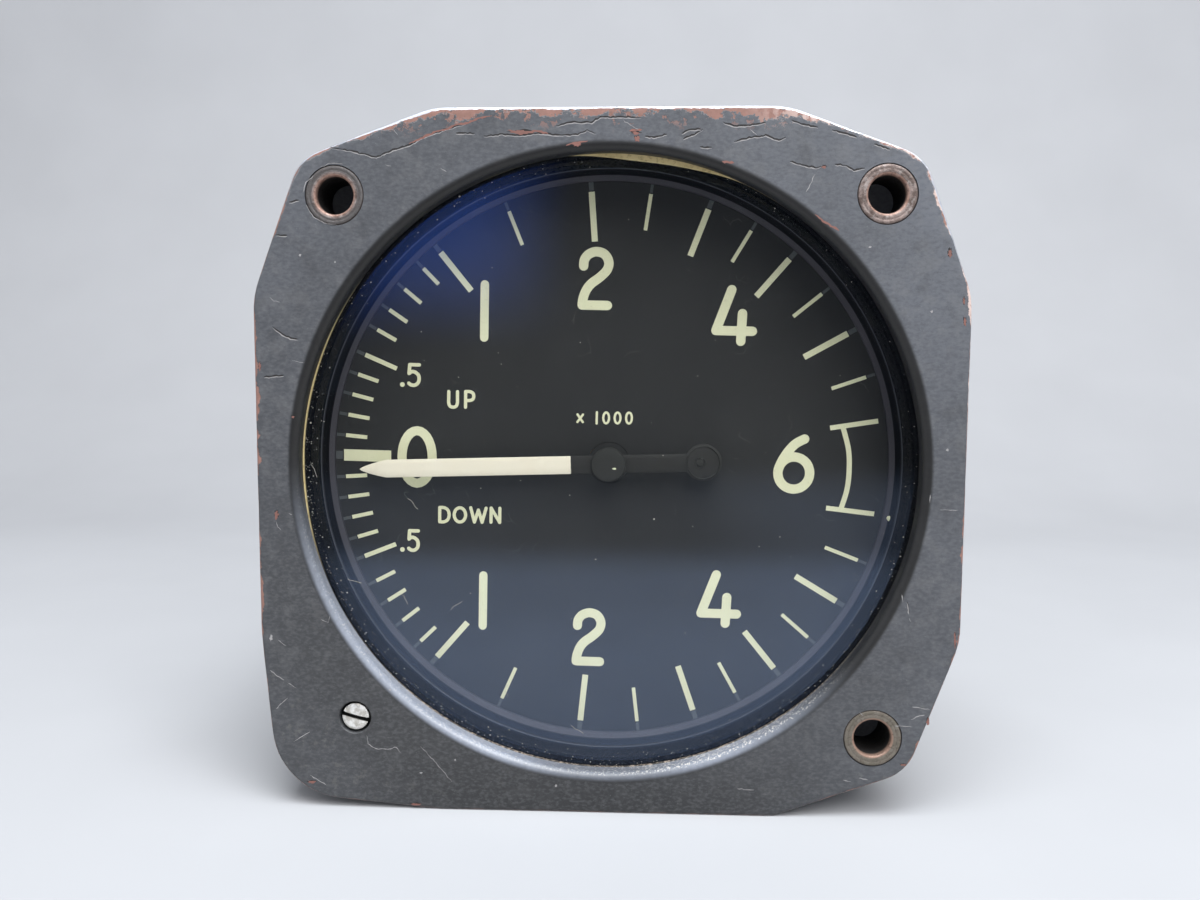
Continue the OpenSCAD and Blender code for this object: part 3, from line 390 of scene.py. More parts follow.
# %% Nodes and coordinates
class Nodes:
    """The nodes of one material, and the coordinates of a point."""

    def __init__(self, name, tree=None):
        if tree is None:
            self.material = bpy.data.materials.new(name)
            self.material.use_nodes = True
        self.tree = tree or self.material.node_tree
        self.tree.nodes.clear()
        self.mm = self.vector("SCALE", self.place_of("Object"), Scale=1000.0)

    def place_of(self, kind):
        return self.node("ShaderNodeTexCoord", output=kind)

    def node(self, kind, output=0, settings=None, **sockets):
        made = self.tree.nodes.new(kind)
        for key, value in (settings or {}).items():
            setattr(made, key, value)
        for key, value in sockets.items():
            place = made.inputs[key.replace("_", " ")]
            if isinstance(value, Value):
                self.tree.links.new(value.socket, place)
            else:
                place.default_value = value
        return Value(self.tree, made.outputs[output])

    def vector(self, operation, first, second=None, **sockets):
        made = self.tree.nodes.new("ShaderNodeVectorMath")
        made.operation = operation
        for place, term in zip(made.inputs, (first, second)):
            if isinstance(term, Value):
                self.tree.links.new(term.socket, place)
            elif term is not None:
                place.default_value = term
        for key, value in sockets.items():
            made.inputs[key].default_value = value
        return Value(self.tree, made.outputs[0])

    def axes(self, source=None):
        made = self.tree.nodes.new("ShaderNodeSeparateXYZ")
        self.tree.links.new((source or self.mm).socket, made.inputs[0])
        return [Value(self.tree, made.outputs[k]) for k in range(3)]

    def radius(self, x=0.0, z=0.0):
        """Distance from an axis along Y, in millimetres."""
        px, _, pz = self.axes()
        dx, dz = px - x, pz - z
        return (dx * dx + dz * dz) ** 0.5


print("tools for nodes:", tools(Nodes))

# %% [markdown]
# Wear is never even. Soft noise gives stains and grain, and the borders between cells give hairlines.
# `attribute` reads the note that a shape left on its points.

# %% Patterns
class Patterns(Nodes):
    def noise(self, length, detail=3.0, rough=0.55, stretch=(1, 1, 1), move=(0, 0, 0)):
        """Soft noise whose features are about `length` millimetres."""
        place = self.vector("MULTIPLY_ADD", self.mm, tuple(1 / s for s in stretch))
        place_node = place.socket.node
        place_node.inputs[2].default_value = move
        return self.node("ShaderNodeTexNoise", output="Fac", Vector=place, Scale=1 / length,
                         Detail=detail, Roughness=rough)

    def cells(self, length, kind="DISTANCE_TO_EDGE", move=(0, 0, 0), warp=0.0):
        """Distances in a pattern of cells about `length` millimetres wide."""
        place = self.vector("ADD", self.mm, move)
        if warp:
            drift = self.node("ShaderNodeTexNoise", output="Color", Vector=self.mm,
                              Scale=1.6 / length, Detail=3.0)
            drift = self.vector("MULTIPLY", drift, (warp, warp, warp))
            place = self.vector("ADD", place, drift)
        return self.node("ShaderNodeTexVoronoi", output="Distance", settings={"feature": kind},
                         Vector=place, Scale=1 / length)

    def attribute(self, name):
        return self.node("ShaderNodeAttribute", output="Fac", settings={"attribute_name": name})


print("patterns:", tools(Patterns))

# %% [markdown]
# `Recipe` adds colours and shaders. A finish is built up as on the real thing: first the base colour, then
# one layer of wear or dirt after the other, each with a mask that goes from 0 to 1.

# %% Colours and shaders
class Recipe(Patterns):
    def blend(self, mask, under, over):
        """Colour `over` on colour `under`, as far as the mask says."""
        made = self.tree.nodes.new("ShaderNodeMix")
        made.data_type = "RGBA"
        for place, term in ((0, mask), (6, under), (7, over)):
            if isinstance(term, Value):
                self.tree.links.new(term.socket, made.inputs[place])
            elif place:
                made.inputs[place].default_value = (*term, 1.0)
            else:
                made.inputs[place].default_value = term
        return Value(self.tree, made.outputs[2])

    def surface(self, colour, rough, metal=0.0, height=None, depth=0.1, strength=1.0, **more):
        """Ends the recipe. Height goes from 0 to 1, and depth is its size in millimetres."""
        shader = self.tree.nodes.new("ShaderNodeBsdfPrincipled")
        inputs = {"Base Color": colour, "Roughness": rough, "Metallic": metal}
        inputs.update({key.replace("_", " "): value for key, value in more.items()})
        for key, value in inputs.items():
            if isinstance(value, Value):
                self.tree.links.new(value.socket, shader.inputs[key])
            elif isinstance(value, tuple) and len(value) == 3:
                shader.inputs[key].default_value = (*value, 1.0)
            else:
                shader.inputs[key].default_value = value
        if height is not None:
            bump = self.node("ShaderNodeBump", Strength=strength, Distance=depth / 1000, Height=height)
            self.tree.links.new(bump.socket, shader.inputs["Normal"])
        return self.done(Value(self.tree, shader.outputs[0]))

    def mixed(self, share, first, second):
        """The second shader mixed into the first."""
        mix = self.node("ShaderNodeMixShader", Fac=share)
        self.tree.links.new(first.socket, mix.socket.node.inputs[1])
        self.tree.links.new(second.socket, mix.socket.node.inputs[2])
        return mix

    def done(self, shader):
        output = self.tree.nodes.new("ShaderNodeOutputMaterial")
        self.tree.links.new(shader.socket, output.inputs["Surface"])
        return self.material


print("steps of a recipe:", tools(Recipe))

# %% [markdown]
# Colours are judged on a display, where they run from 0 to 255, but a shader counts in linear light.
# `shade` turns one into the other, so the finishes can be written in colours as they are seen.

# %% Display colours
def shade(*levels):
    return tuple(((v / 255 + 0.055) / 1.055) ** 2.4 if v > 10 else v / 255 / 12.92 for v in levels)


print("display level 128 is", round(shade(128)[0], 3), "in linear light")

# %% [markdown]
# ### The flange's paint
# The real flange is a casting with red primer under satin paint that is almost black. Along the top the
# paint has flaked to the primer, the top edge and the upper bevels are bare metal, and a thin worn line
# runs down the sides. A painted mask could show all that. Here the wear follows from the note on each
# point, its distance from the outer edge: noise eats into the paint from there, further at the top.

# %% Where the paint is worn
def worn_masks(m, patch):
    """Masks of the primer, the bare metal and the thin pale outline of flaked paint, which is partly a
    painted highlight on the flakes' edges.
    """
    x, _, z = m.axes()
    rim = (m.attribute("edge") + 0.28).size()
    upper, top = z.ramp(26, 37), z.ramp(37.5, 40.0)
    top_right = top * x.ramp(-4, 8) * x.ramp(24, 17)
    spots = m.noise(7, 3, 0.6, move=(2, 8, 5)).ramp(0.48, 0.60)
    reach = 0.05 + 0.24 * spots * z.ramp(-41, -30) + upper * 0.24 + top * 0.42 + top_right * 0.38
    ragged = m.noise(0.7, 4, 0.7, move=(8, 8, 8)) - 0.5
    worn_at = reach * (patch * 6.2 - 2.35 + 1.2 * ragged) - rim
    worn = worn_at.ramp(-0.03, 0.05)
    # partly painted highlight: a pale rim where the flaked paint's upper edges catch light
    pale_rim_and_highlight = worn_at.ramp(-0.17, -0.06) * worn_at.ramp(-0.02, -0.07) * upper
    islands = (m.noise(1.25, 4, 0.7, move=(3, 7, 1)) - 0.575).ramp(0, 0.015)
    primer = worn.most(islands * rim.ramp(3.6, 0.8) * top * 0.9)
    right_corner = x.ramp(33, 38) * z.ramp(20, 28)
    bare_reach = 0.03 + upper * 0.10 + top * 0.14 + right_corner * 0.12
    bare_at = bare_reach * (m.noise(1.7, 4, 0.6, move=(9, 2, 5)) * 2.6 - 0.4) - rim
    bare = bare_at.ramp(-0.03, 0.04) * (0.15 + 0.85 * upper.most(right_corner))
    return primer, bare, pale_rim_and_highlight


print("wear masks ready")

# %% [markdown]
# The paint that is left isn't one colour. It is painted lighter above, to the right and at the outer
# corners, a painted light, and darker along the bottom, a painted shade. It also has stains, grain,
# scuffs and grit of several sizes. One strong noise would look like marble, so each is a weak layer with
# its own length in millimetres.

# %% The paint that is left
def satin_black(m, patch, grain, grit):
    """The colour of the paint with its painted light and shade, from broad changes down to single grains."""
    x, _, z = m.axes()
    r = m.radius()
    # painted light: the paint is lighter upward, to the right and toward the outer corners
    light = 0.10 + 0.48 * z.ramp(-44, 30) + 0.26 * x.ramp(-26, 40) + 0.18 * r.ramp(41, 50)
    colour = m.blend(light, shade(48, 48, 48), shade(97, 100, 107))
    # painted shade: darker along the bottom edge
    colour = m.blend(z.ramp(-32, -41) * x.size().ramp(38, 10) * 0.75, colour, shade(32, 33, 35))
    colour = m.blend(m.noise(14, 3).ramp(0.3, 0.7) * 0.3, colour, shade(58, 59, 61))
    colour = m.blend(grain.ramp(0.42, 0.70) * 0.20, colour, shade(118, 119, 121))
    colour = m.blend(grain.ramp(0.50, 0.30) * 0.20, colour, shade(46, 46, 48))
    stains = patch.ramp(0.50, 0.64) * (0.08 + 0.14 * z.ramp(-36, -10))
    colour = m.blend(stains, colour, shade(112, 112, 113))
    dark_stains = m.noise(3.4, 4, 0.6, move=(6, 6, 6)).ramp(0.5, 0.72)
    colour = m.blend(dark_stains * 0.3, colour, shade(52, 52, 54))
    scuffs = m.noise(1.6, 5, 0.75, move=(1, 4, 6)).ramp(0.56, 0.68)
    scuffs = scuffs * (0.25 + 0.75 * r.ramp(42, 49)) * z.ramp(10, -20)
    colour = m.blend(scuffs * 0.2, colour, shade(128, 126, 120))
    colour = m.blend(grit.ramp(0.66, 0.76) * 0.40, colour, shade(140, 140, 138))
    return m.blend(grit.ramp(0.33, 0.24) * 0.45, colour, shade(36, 36, 37))


print("layers of paint ready")

# %% [markdown]
# The rounded lip of the opening is painted nearly black, a painted shade, and its lower half gets a
# painted highlight with painted sparkles in it. It could be a piece of its own. It is the same casting
# though, so the material finds the lip by its distance from the axis.

# %% The lip of the opening
def lip_shade_and_highlight(m, colour, fine):
    """Adds the lip's painted shade and painted highlight to the paint's colour. Returns it with the masks of
    lip, lit lower half and sparkles.
    """
    x, _, z = m.axes()
    r = m.radius()
    lip = r.ramp(37.7, 37.2) * r.ramp(35.8, 36.2)
    lit_low_lip = (z + 0.35 * x).ramp(-11, -33) * r.ramp(37.55, 36.95) * r.ramp(35.8, 36.2)
    lit_low_lip = lit_low_lip * (0.45 + 0.55 * x.size().ramp(3, 15))
    # painted shade: the whole lip is darkened
    colour = m.blend(lip * 0.9, colour, shade(24, 23, 22))
    # painted highlight: the lower half of the lip is lightened
    colour = m.blend(lit_low_lip * (0.55 + 0.5 * fine), colour, shade(146, 152, 164))
    # painted highlight: sparkles in the lit lower lip
    painted_sparkle = m.noise(0.3, 3, 0.7, move=(4, 4, 1)).ramp(0.52, 0.62) * r.ramp(36.8, 36.62)
    painted_sparkle = painted_sparkle * lit_low_lip * (0.25 + 0.75 * x.ramp(-10, 8))
    return m.blend(painted_sparkle * 0.9, colour, shade(228, 222, 212)), lip, lit_low_lip, painted_sparkle


print("lip from radius", lip_r, "to", round(lip_r + lip_round, 2), "mm")

# %% [markdown]
# Now the layers come together: paint, then primer where it has flaked, the pale outline with its painted
# highlight, and bare metal last. The bump steps down where paint and primer are gone, so the flakes catch
# light at their edges.

# %% The whole flange finish
def flange_paint():
    m = Recipe("flange_paint")
    x, _, z = m.axes()
    patch, fine = m.noise(2.3, 5, 0.65), m.noise(0.5, 4, 0.6)
    grit = m.noise(0.17, 2, 0.7, move=(3, 3, 9))
    grain = m.noise(0.34, 3, 0.6, stretch=(1.8, 1, 1), move=(5, 1, 3))
    primer, bare, pale_rim_and_highlight = worn_masks(m, patch)
    black = satin_black(m, patch, grain, grit)
    black, lip, lit_low_lip, painted_sparkle = lip_shade_and_highlight(m, black, fine)
    red = m.blend(m.noise(0.8, 4), shade(116, 88, 78), shade(160, 120, 110))
    pale_edge = x.ramp(14, 26) * z.ramp(-4, 12)
    faded = pale_edge * m.noise(0.7, 3, move=(1, 1, 7)).ramp(0.36, 0.56)
    red = m.blend(faded * 0.8, red, shade(214, 194, 186))
    colour = m.blend(primer, black, red)
    # the pale rim, partly its own colour and partly a painted highlight
    colour = m.blend(pale_rim_and_highlight * 0.6, colour, shade(156, 151, 150))
    shiny = m.blend(m.noise(1.1, 3), shade(176, 180, 190), shade(224, 228, 236))
    colour = m.blend(bare, colour, shiny)
    rough = 0.46 + 0.14 * fine + 0.08 * patch + primer * 0.2 - bare * 0.2 - lip * 0.16
    peel = m.noise(0.9, 3, 0.5, move=(1, 9, 2))
    texture = 0.10 * peel + 0.07 * grain + 0.06 * grit
    height = texture + 0.42 * (1 - primer) + 0.15 * (1 - bare) + 0.2 * painted_sparkle
    return m.surface(colour, rough, bare, height, depth=0.15, strength=0.8,
                     Coat_Weight=lit_low_lip * 0.6, Coat_Roughness=0.3, Specular_IOR_Level=0.42)


finishes = {}


def keep(slot, material):
    """Keeps a finish under the name of its material slot."""
    finishes[slot] = material
    print(slot, "has", len(material.node_tree.nodes), "nodes")


keep("painted_casting", flange_paint())

# %% [markdown]
# ### The other finishes
# One recipe makes the metals: a base colour with darker tarnish in patches, and fine scratches in
# roughness and bump. A metal of one flat colour would look like plastic. A second recipe makes plain
# paint and rubber, with specks of dust. Most of the pieces hidden in the case need no more than these.

# %% Metals and plain paint
def metal(name, light, dark, rough, tarnish=0.5, grain=0.6, metallic=1.0):
    light, dark = shade(*light), shade(*dark)
    m = Recipe(name)
    patch = m.noise(3.2, 4, 0.6)
    fine = m.noise(grain, 4, 0.65)
    scratch = m.noise(0.5, 2, 0.5, stretch=(9, 1, 1)).ramp(0.55, 0.75)
    colour = m.blend(patch.ramp(0.35, 0.7) * tarnish, light, dark)
    colour = m.blend(fine.ramp(0.6, 0.8) * 0.4 * tarnish, colour, dark)
    roughness = rough + 0.16 * patch + 0.08 * fine - 0.05 * scratch
    height = 0.5 * fine + 0.5 * scratch
    return m.surface(colour, roughness, metallic, height, depth=0.02, strength=0.5)


def plain_paint(name, low, high, rough=0.5, peel=0.7, depth=0.04, dust=0.2,
                dust_colour=(0.2, 0.19, 0.18)):
    m = Recipe(name)
    broad, fine = m.noise(8, 4, 0.6), m.noise(peel, 3, 0.55)
    specks = m.noise(0.3, 2, 0.7).ramp(0.70, 0.80)
    colour = m.blend(broad, low, high)
    colour = m.blend(specks * dust, colour, dust_colour)
    return m.surface(colour, rough + 0.1 * fine + 0.08 * broad, 0.0, fine, depth=depth, strength=0.6)


keep("hub_black", plain_paint("hub_black", shade(34, 36, 34), shade(42, 43, 40), 0.6, peel=0.4, dust=0.4))
keep("seal_rubber", plain_paint("seal_rubber", shade(26, 26, 27), shade(36, 36, 37), 0.6, peel=0.3,
                                depth=0.02))
# Clean and tarnished colour, roughness, and where they differ: tarnish, grain in mm and metallic share
metals = {
    "screw_steel": ((190, 190, 188), (120, 116, 108), 0.3),
    "adjuster_steel": ((226, 225, 222), (186, 182, 176), 0.28, 0.35, 0.25, 0.4),
    "arbor_steel": ((206, 208, 212), (150, 152, 156), 0.2, 0.3, 0.3),
    "spring_steel": ((96, 112, 168), (64, 70, 110), 0.22, 0.4, 0.3),
    "movement_brass": ((214, 178, 104), (150, 112, 58), 0.3, 0.45),
    "port_brass": ((200, 166, 98), (116, 88, 50), 0.36, 0.7),
    "capsule_bronze": ((206, 158, 96), (146, 96, 56), 0.26, 0.4),
    "tube_copper": ((214, 138, 100), (132, 74, 50), 0.28, 0.6),
    "frame_aluminium": ((206, 208, 210), (168, 170, 172), 0.38, 0.35),
}
for slot, look in metals.items():
    keep(slot, metal(slot, *look))

# %% [markdown]
# ### The case's paint
# The case is a dark barrel that has been pushed through a panel more than once. Even black would look
# new. So it is rubbed and scratched along its length, chipped at the shoulder behind the flange and at
# the rear edge, and dusty on its upper side. The rubs are noise stretched along Y.

# %% Case paint
def case_paint():
    m = Recipe("case_paint")
    _, y, z = m.axes()
    r = m.radius()
    broad, patch, fine = m.noise(9, 4, 0.6), m.noise(2.4, 5, 0.65, move=(2, 2, 2)), m.noise(0.6, 4, 0.6)
    colour = m.blend(broad, shade(36, 37, 39), shade(50, 51, 53))
    rubs = m.noise(1.4, 4, 0.7, stretch=(1, 14, 1), move=(4, 0, 1)).ramp(0.56, 0.68) * patch.ramp(0.45, 0.6)
    colour = m.blend(rubs * 0.45, colour, shade(96, 97, 100))
    scratches = (m.noise(0.8, 3, 0.6, stretch=(1, 18, 1), move=(1, 7, 3)) - 0.5).size().ramp(0.006, 0.002)
    scratches = scratches * m.noise(7, 2, move=(5, 5, 5)).ramp(0.52, 0.60)
    colour = m.blend(scratches * 0.5, colour, shade(150, 150, 150))
    edge = y.ramp(case_high[1] - 1.6, case_high[1] - 0.5) * r.ramp(37.2, 38.3) * r.ramp(39.2, 38.4)
    step = (y - (skirt_end + 0.2)).size().ramp(0.5, 0.1)
    chipped = (patch * 2.2 - 1.02 + edge * 0.24 + step * 0.12).ramp(0.14, 0.17)
    bare = chipped * (edge.most(step)).ramp(0.1, 0.4)
    colour = m.blend(bare, colour, shade(168, 170, 174))
    dust = m.noise(3, 4, 0.7, move=(9, 9, 1)).ramp(0.36, 0.80) * z.ramp(-10, 36) * 0.16
    colour = m.blend(dust, colour, shade(132, 128, 120))
    specks = m.noise(0.3, 2, 0.7).ramp(0.72, 0.80)
    colour = m.blend(specks * 0.35, colour, shade(140, 136, 128))
    rough = 0.40 + 0.12 * fine + 0.10 * broad + 0.3 * dust - 0.1 * rubs
    height = 0.5 * fine + 0.3 * patch + 0.4 * (1 - bare) - 0.3 * scratches
    return m.surface(colour, rough, bare * 0.9, height, depth=0.07, strength=0.7)


keep("case_paint", case_paint())

# %% [markdown]
# ### The bushings' brass
# Three brass rings line the mounting holes. They are one piece here, so one recipe serves all three and
# asks in which corner a point lies: the pinkish brass keeps most of its grey paint at the upper left and
# none at the upper right, and is duller at the lower right.

# %% Bushing brass
def bushing_metal():
    m = Recipe("bushing_metal")
    x, y, z = m.axes()
    r = (m.radius(half_pitch, half_pitch).least(m.radius(half_pitch, -half_pitch))
         .least(m.radius(-half_pitch, half_pitch)))
    patch, fine = m.noise(1.3, 4, 0.6), m.noise(0.3, 4, 0.65)
    top_right = x.ramp(-1, 1) * z.ramp(-1, 1)
    top_left = x.ramp(1, -1)
    brass = m.blend(patch.ramp(0.35, 0.65), shade(94, 80, 74), shade(146, 130, 124))
    brass = m.blend(m.noise(0.7, 4, 0.7, move=(3, 1, 5)).ramp(0.5, 0.62) * 0.5, brass, shade(166, 158, 154))
    colour = m.blend(x.ramp(-1, 1) * z.ramp(1, -1) * 0.75, brass, shade(108, 104, 92))
    painted = (r.ramp(2.5, 2.8) * top_left + 0.5 * patch).ramp(0.62, 0.84) * (1 - top_right)
    colour = m.blend(painted * 0.85, colour, shade(86, 85, 85))
    groove = (r - 2.85).size().ramp(0.10, 0.04) * (1 - 0.6 * top_right)
    colour = m.blend(groove * 0.3, colour, shade(80, 72, 68))
    colour = m.blend((r - 3.33).size().ramp(0.09, 0.03) * 0.6, colour, shade(70, 60, 58))
    colour = m.blend(r.ramp(2.5, 2.34) * 0.5, colour, shade(176, 136, 118))
    colour = m.blend(fine.ramp(0.54, 0.64) * 0.55, colour, shade(74, 62, 58))
    # painted shade: the brass darkens deeper in the hole
    depth = y.ramp(front + 0.35, front + 1.0) * r.ramp(2.5, 2.3)
    colour = m.blend(depth, colour, shade(16, 13, 12))
    shine = patch.ramp(0.4, 0.6)
    rough = 0.5 - 0.12 * shine + 0.2 * fine + 0.2 * depth
    return m.surface(colour, rough, 0.45 * (1 - depth), fine + 0.6 * patch, depth=0.08, strength=0.8)


keep("bushing_brass", bushing_metal())

# %% [markdown]
# ### The gasket's cork
# The gasket is grainy. It is tan where it bulges in at the top and along the left, and dark brown
# elsewhere, with a mottled grey toward the bottom. Two materials would meet in a cut line, so one material
# fades from the tan to the dark.

# %% Gasket cork
def cork():
    m = Recipe("gasket_cork")
    x, _, z = m.axes()
    grain, broad = m.noise(0.5, 4, 0.7), m.noise(3.0, 3)
    colour = m.blend(broad, shade(176, 156, 104), shade(210, 194, 146))
    colour = m.blend(grain.ramp(0.5, 0.66) * 0.5, colour, shade(122, 98, 60))
    tan_part = (z.ramp(27, 33) * x.ramp(-16, -8) * x.ramp(22, 16)).most(x.ramp(-28, -35) * z.ramp(-14, -2))
    # dark brown where the gasket isn't tan, mottled grey toward the bottom
    dark_part = m.blend(m.noise(0.35, 3, 0.7).ramp(0.45, 0.62), shade(44, 39, 34), shade(152, 138, 124))
    dark_part = m.blend(z.ramp(-16, -30), shade(38, 35, 31), dark_part)
    colour = m.blend(1 - tan_part, colour, dark_part)
    return m.surface(colour, 0.62 + 0.2 * grain, 0.0, grain, depth=0.08, strength=0.7)


keep("gasket_cork", cork())

# %% [markdown]
# ### The glass
# Real glass bends light. Cycles can trace that, but it takes many more samples, and behind a flat pane
# hardly anything shifts. So light goes straight through a transparent shader. Over it lie a faint bluish
# coat, a gloss that grows at a slant, and a film of dust that gets thicker at the rim.

# %% Cover glass
def clear_glass():
    m = Recipe("cover_glass")
    slant = m.node("ShaderNodeLayerWeight", output="Facing", Blend=0.5)
    r = m.radius()
    film = m.noise(7, 4, 0.6).ramp(0.45, 0.8) * 0.006 + r.ramp(34.2, 36.6) * 0.008
    specks = m.noise(0.24, 2, 0.75, move=(2, 3, 4)).ramp(0.72, 0.76) * (0.04 + 0.5 * r.ramp(34, 36.5))
    smear = m.noise(5, 3, 0.6, stretch=(3, 1, 1), move=(7, 1, 2)).ramp(0.4, 0.8)
    clear = m.node("ShaderNodeBsdfTransparent", Color=(0.99, 0.99, 0.985, 1))
    coat = m.node("ShaderNodeBsdfAnisotropic", Color=(0.42, 0.60, 1.0, 1), Roughness=0.05)
    gloss = m.node("ShaderNodeBsdfAnisotropic", Color=(1, 1, 1, 1), Roughness=0.03)
    haze = m.node("ShaderNodeBsdfDiffuse", Color=(0.55, 0.57, 0.6, 1))
    coated = m.mixed(0.062, clear, coat)
    lit = m.mixed(0.006 + 0.9 * slant ** 5, coated, gloss)
    return m.done(m.mixed((film * (0.7 + 0.3 * smear) + specks).least(0.6), lit, haze))


keep("glass", clear_glass())

# %% [markdown]
# ### The glossy ring
# The black ring between glass and dial has a fine bead, a dark wall and a matt slope. The bead's light line
# is a painted highlight, and the slope's grey is a painted sheen. They could be three pieces, but one
# material can tell them apart by their distance from the axis.

# %% Glossy black
bead_r = 35.56


def mask_finish():
    m = Recipe("mask_black")
    r = m.radius()
    fine = m.noise(0.28, 3, 0.7)
    dust = fine.ramp(0.66, 0.75) * r.ramp(35.2, 36.2)
    slope_sheen = r.ramp(35.12, 35.02) * r.ramp(34.35, 34.45)
    wall = r.ramp(35.56, 35.53) * r.ramp(35.04, 35.12)
    bead_highlight = (r - bead_r).size().ramp(0.07, 0.03)
    colour = m.blend(m.noise(5, 3), shade(10, 11, 13), shade(20, 22, 26))
    colour = m.blend(wall, colour, shade(14, 15, 18))
    # painted sheen: the slope is lighter grey
    colour = m.blend(slope_sheen, colour, shade(72, 71, 76))
    # painted highlight: a light line on the bead
    colour = m.blend(bead_highlight * 0.6, colour, shade(92, 95, 102))
    colour = m.blend(dust * 0.6, colour, shade(140, 138, 132))
    rough = 0.24 + 0.35 * slope_sheen + 0.3 * wall + 0.3 * dust + 0.08 * fine
    return m.surface(colour, rough, 0.0, fine, depth=0.02, strength=0.12, Specular_IOR_Level=0.12)


keep("mask_black", mask_finish())

# %% [markdown]
# ### The dial's black and the cream
# The dial is matt black with specks and a few hairlines. The signs and the pointer are cream, and near
# its hub the pointer turns black with a sharp border. That could be a second piece, but a step along the
# pointer's own direction gives the same border and keeps the plate whole.

# %% Dial, signs and pointer
def dial_finish():
    m = Recipe("dial_black")
    broad, fine = m.noise(9, 4, 0.6), m.noise(0.4, 4, 0.6)
    colour = m.blend(broad, shade(43, 44, 44), shade(52, 53, 53))
    specks = m.noise(0.2, 2, 0.7, move=(6, 2, 1)).ramp(0.755, 0.79)
    colour = m.blend(specks * 0.4, colour, shade(140, 140, 134))
    hairs = m.cells(6, warp=5, move=(4, 1, 2)).ramp(0.006, 0.002)
    hairs = hairs * m.noise(5, 2, move=(1, 2, 3)).ramp(0.60, 0.66)
    colour = m.blend(hairs * 0.35, colour, shade(120, 120, 116))
    return m.surface(colour, 0.66 + 0.1 * fine, 0.0, fine, depth=0.004, strength=0.1,
                     Specular_IOR_Level=0.25)


def cream(name, high=(238, 239, 204), low=(224, 224, 184)):
    m = Recipe(name)
    broad, fine = m.noise(4, 3), m.noise(0.35, 4, 0.6)
    colour = m.blend(broad, shade(*high), shade(*low))
    colour = m.blend(fine.ramp(0.58, 0.74) * 0.3, colour, shade(160, 154, 122))
    return m.surface(colour, 0.6 + 0.1 * fine, 0.0, fine, depth=0.015, strength=0.4)


def pointer_finish():
    m = Recipe("pointer_paint")
    x, _, z = m.axes()
    along = x * math.cos(pointer_turn) + z * math.sin(pointer_turn)
    fine, broad = m.noise(0.35, 4, 0.6), m.noise(4, 3)
    light = m.blend(broad, shade(246, 240, 220), shade(238, 229, 205))
    light = m.blend(fine.ramp(0.6, 0.74) * 0.25, light, shade(176, 166, 138))
    dark = m.blend(broad, shade(34, 35, 34), shade(42, 42, 39))
    dark = m.blend(m.noise(0.25, 2, 0.7).ramp(0.72, 0.78) * 0.5, dark, shade(110, 108, 98))
    colour = m.blend((along + 0.12 * fine).ramp(4.68, 4.74), dark, light)
    return m.surface(colour, 0.55 + 0.1 * fine, 0.0, fine, depth=0.02, strength=0.5)


keep("dial_black", dial_finish())
keep("pointer_cream", pointer_finish())

# %% [markdown]
# ### Stone, screw face and jewels
# The diffuser's core is porous, which a pattern of small cells gives. The zero screw is bright and dark
# inside its slot, and the material finds the slot by its depth below the face. The jewels are polished
# and red.

# %% Stone, screw face and jewels
def porous_stone():
    m = Recipe("core_stone")
    grain = m.cells(0.5, kind="F1")
    colour = m.blend(grain, shade(188, 176, 156), shade(120, 108, 92))
    return m.surface(colour, 0.85 + 0.1 * m.noise(0.6), 0.0, grain, depth=0.15, strength=0.8)


def screw_face():
    m = Recipe("screw_face")
    _, y, _ = m.axes()
    patch, fine = m.noise(0.9, 4, 0.6), m.noise(0.16, 4, 0.7)
    colour = m.blend(patch.ramp(0.35, 0.65), shade(242, 241, 238), shade(190, 186, 178))
    colour = m.blend(fine.ramp(0.58, 0.7) * 0.6, colour, shade(104, 96, 88))
    # darker below the face: the slot's walls and floor are dark
    dust_and_slot_dark = y.ramp(front + 0.38, front + 0.44)
    colour = m.blend(dust_and_slot_dark, colour, shade(20, 18, 16))
    rough = 0.32 + 0.2 * fine + 0.3 * dust_and_slot_dark
    return m.surface(colour, rough, 0.6 * (1 - dust_and_slot_dark), fine, depth=0.03, strength=0.6)


def ruby():
    m = Recipe("jewel_red")
    glow = m.noise(0.6, 3)
    colour = m.blend(glow, shade(120, 8, 28), shade(196, 30, 58))
    return m.surface(colour, 0.08 + 0.08 * glow, 0.0, glow, depth=0.005, strength=0.2,
                     Coat_Weight=0.6)


keep("core_stone", porous_stone())
keep("screw_face", screw_face())
keep("jewel_red", ruby())

# %% [markdown]
# ### Finishes on the CAD nodes
# The pieces inside the case aren't built again. Each CAD node names its material slot, so one loop gives
# all of them their finish, and the movement looks right when the case is taken off.

# %% Finishes on the CAD nodes
mark_cream = cream("mark_cream")
for entry in frame["record"]["subparts"]:
    node = frame["nodes"][entry["node"]]
    node.data.materials.clear()
    node.data.materials.append(finishes[entry["material_slot"]])
print(len(finishes), "finishes on", len(frame["nodes"]), "nodes")

# %% [markdown]
# ## The flange
# Its outline is a square whose corners are rounds about the mounting holes, with slanted stretches that
# lead to them. The lower left corner is rounder, since it holds the zero screw. A square with bevelled
# corners would miss the slants. So one corner is worked out and mirrored to the other three, and the
# whole outline is eased a little, because no edge of a casting is quite sharp.

# %% Outline of the flange
flat_end = 20.0
plain_corner_r, screw_corner_r = 5.3, 8.8


def corner(radius):
    """Points of the upper right corner, from its flat's end to the other flat's end."""
    a = Vector((flat_end, half_flange))
    v = Vector((half_pitch, half_pitch)) - a
    turn = math.degrees(math.atan2(v.y, v.x) + math.asin(radius / v.length))
    start, end = turn + 90, -turn
    return [tuple(a)] + arc(radius, start, end, 14, (half_pitch, half_pitch)) + [(a.y, a.x)]


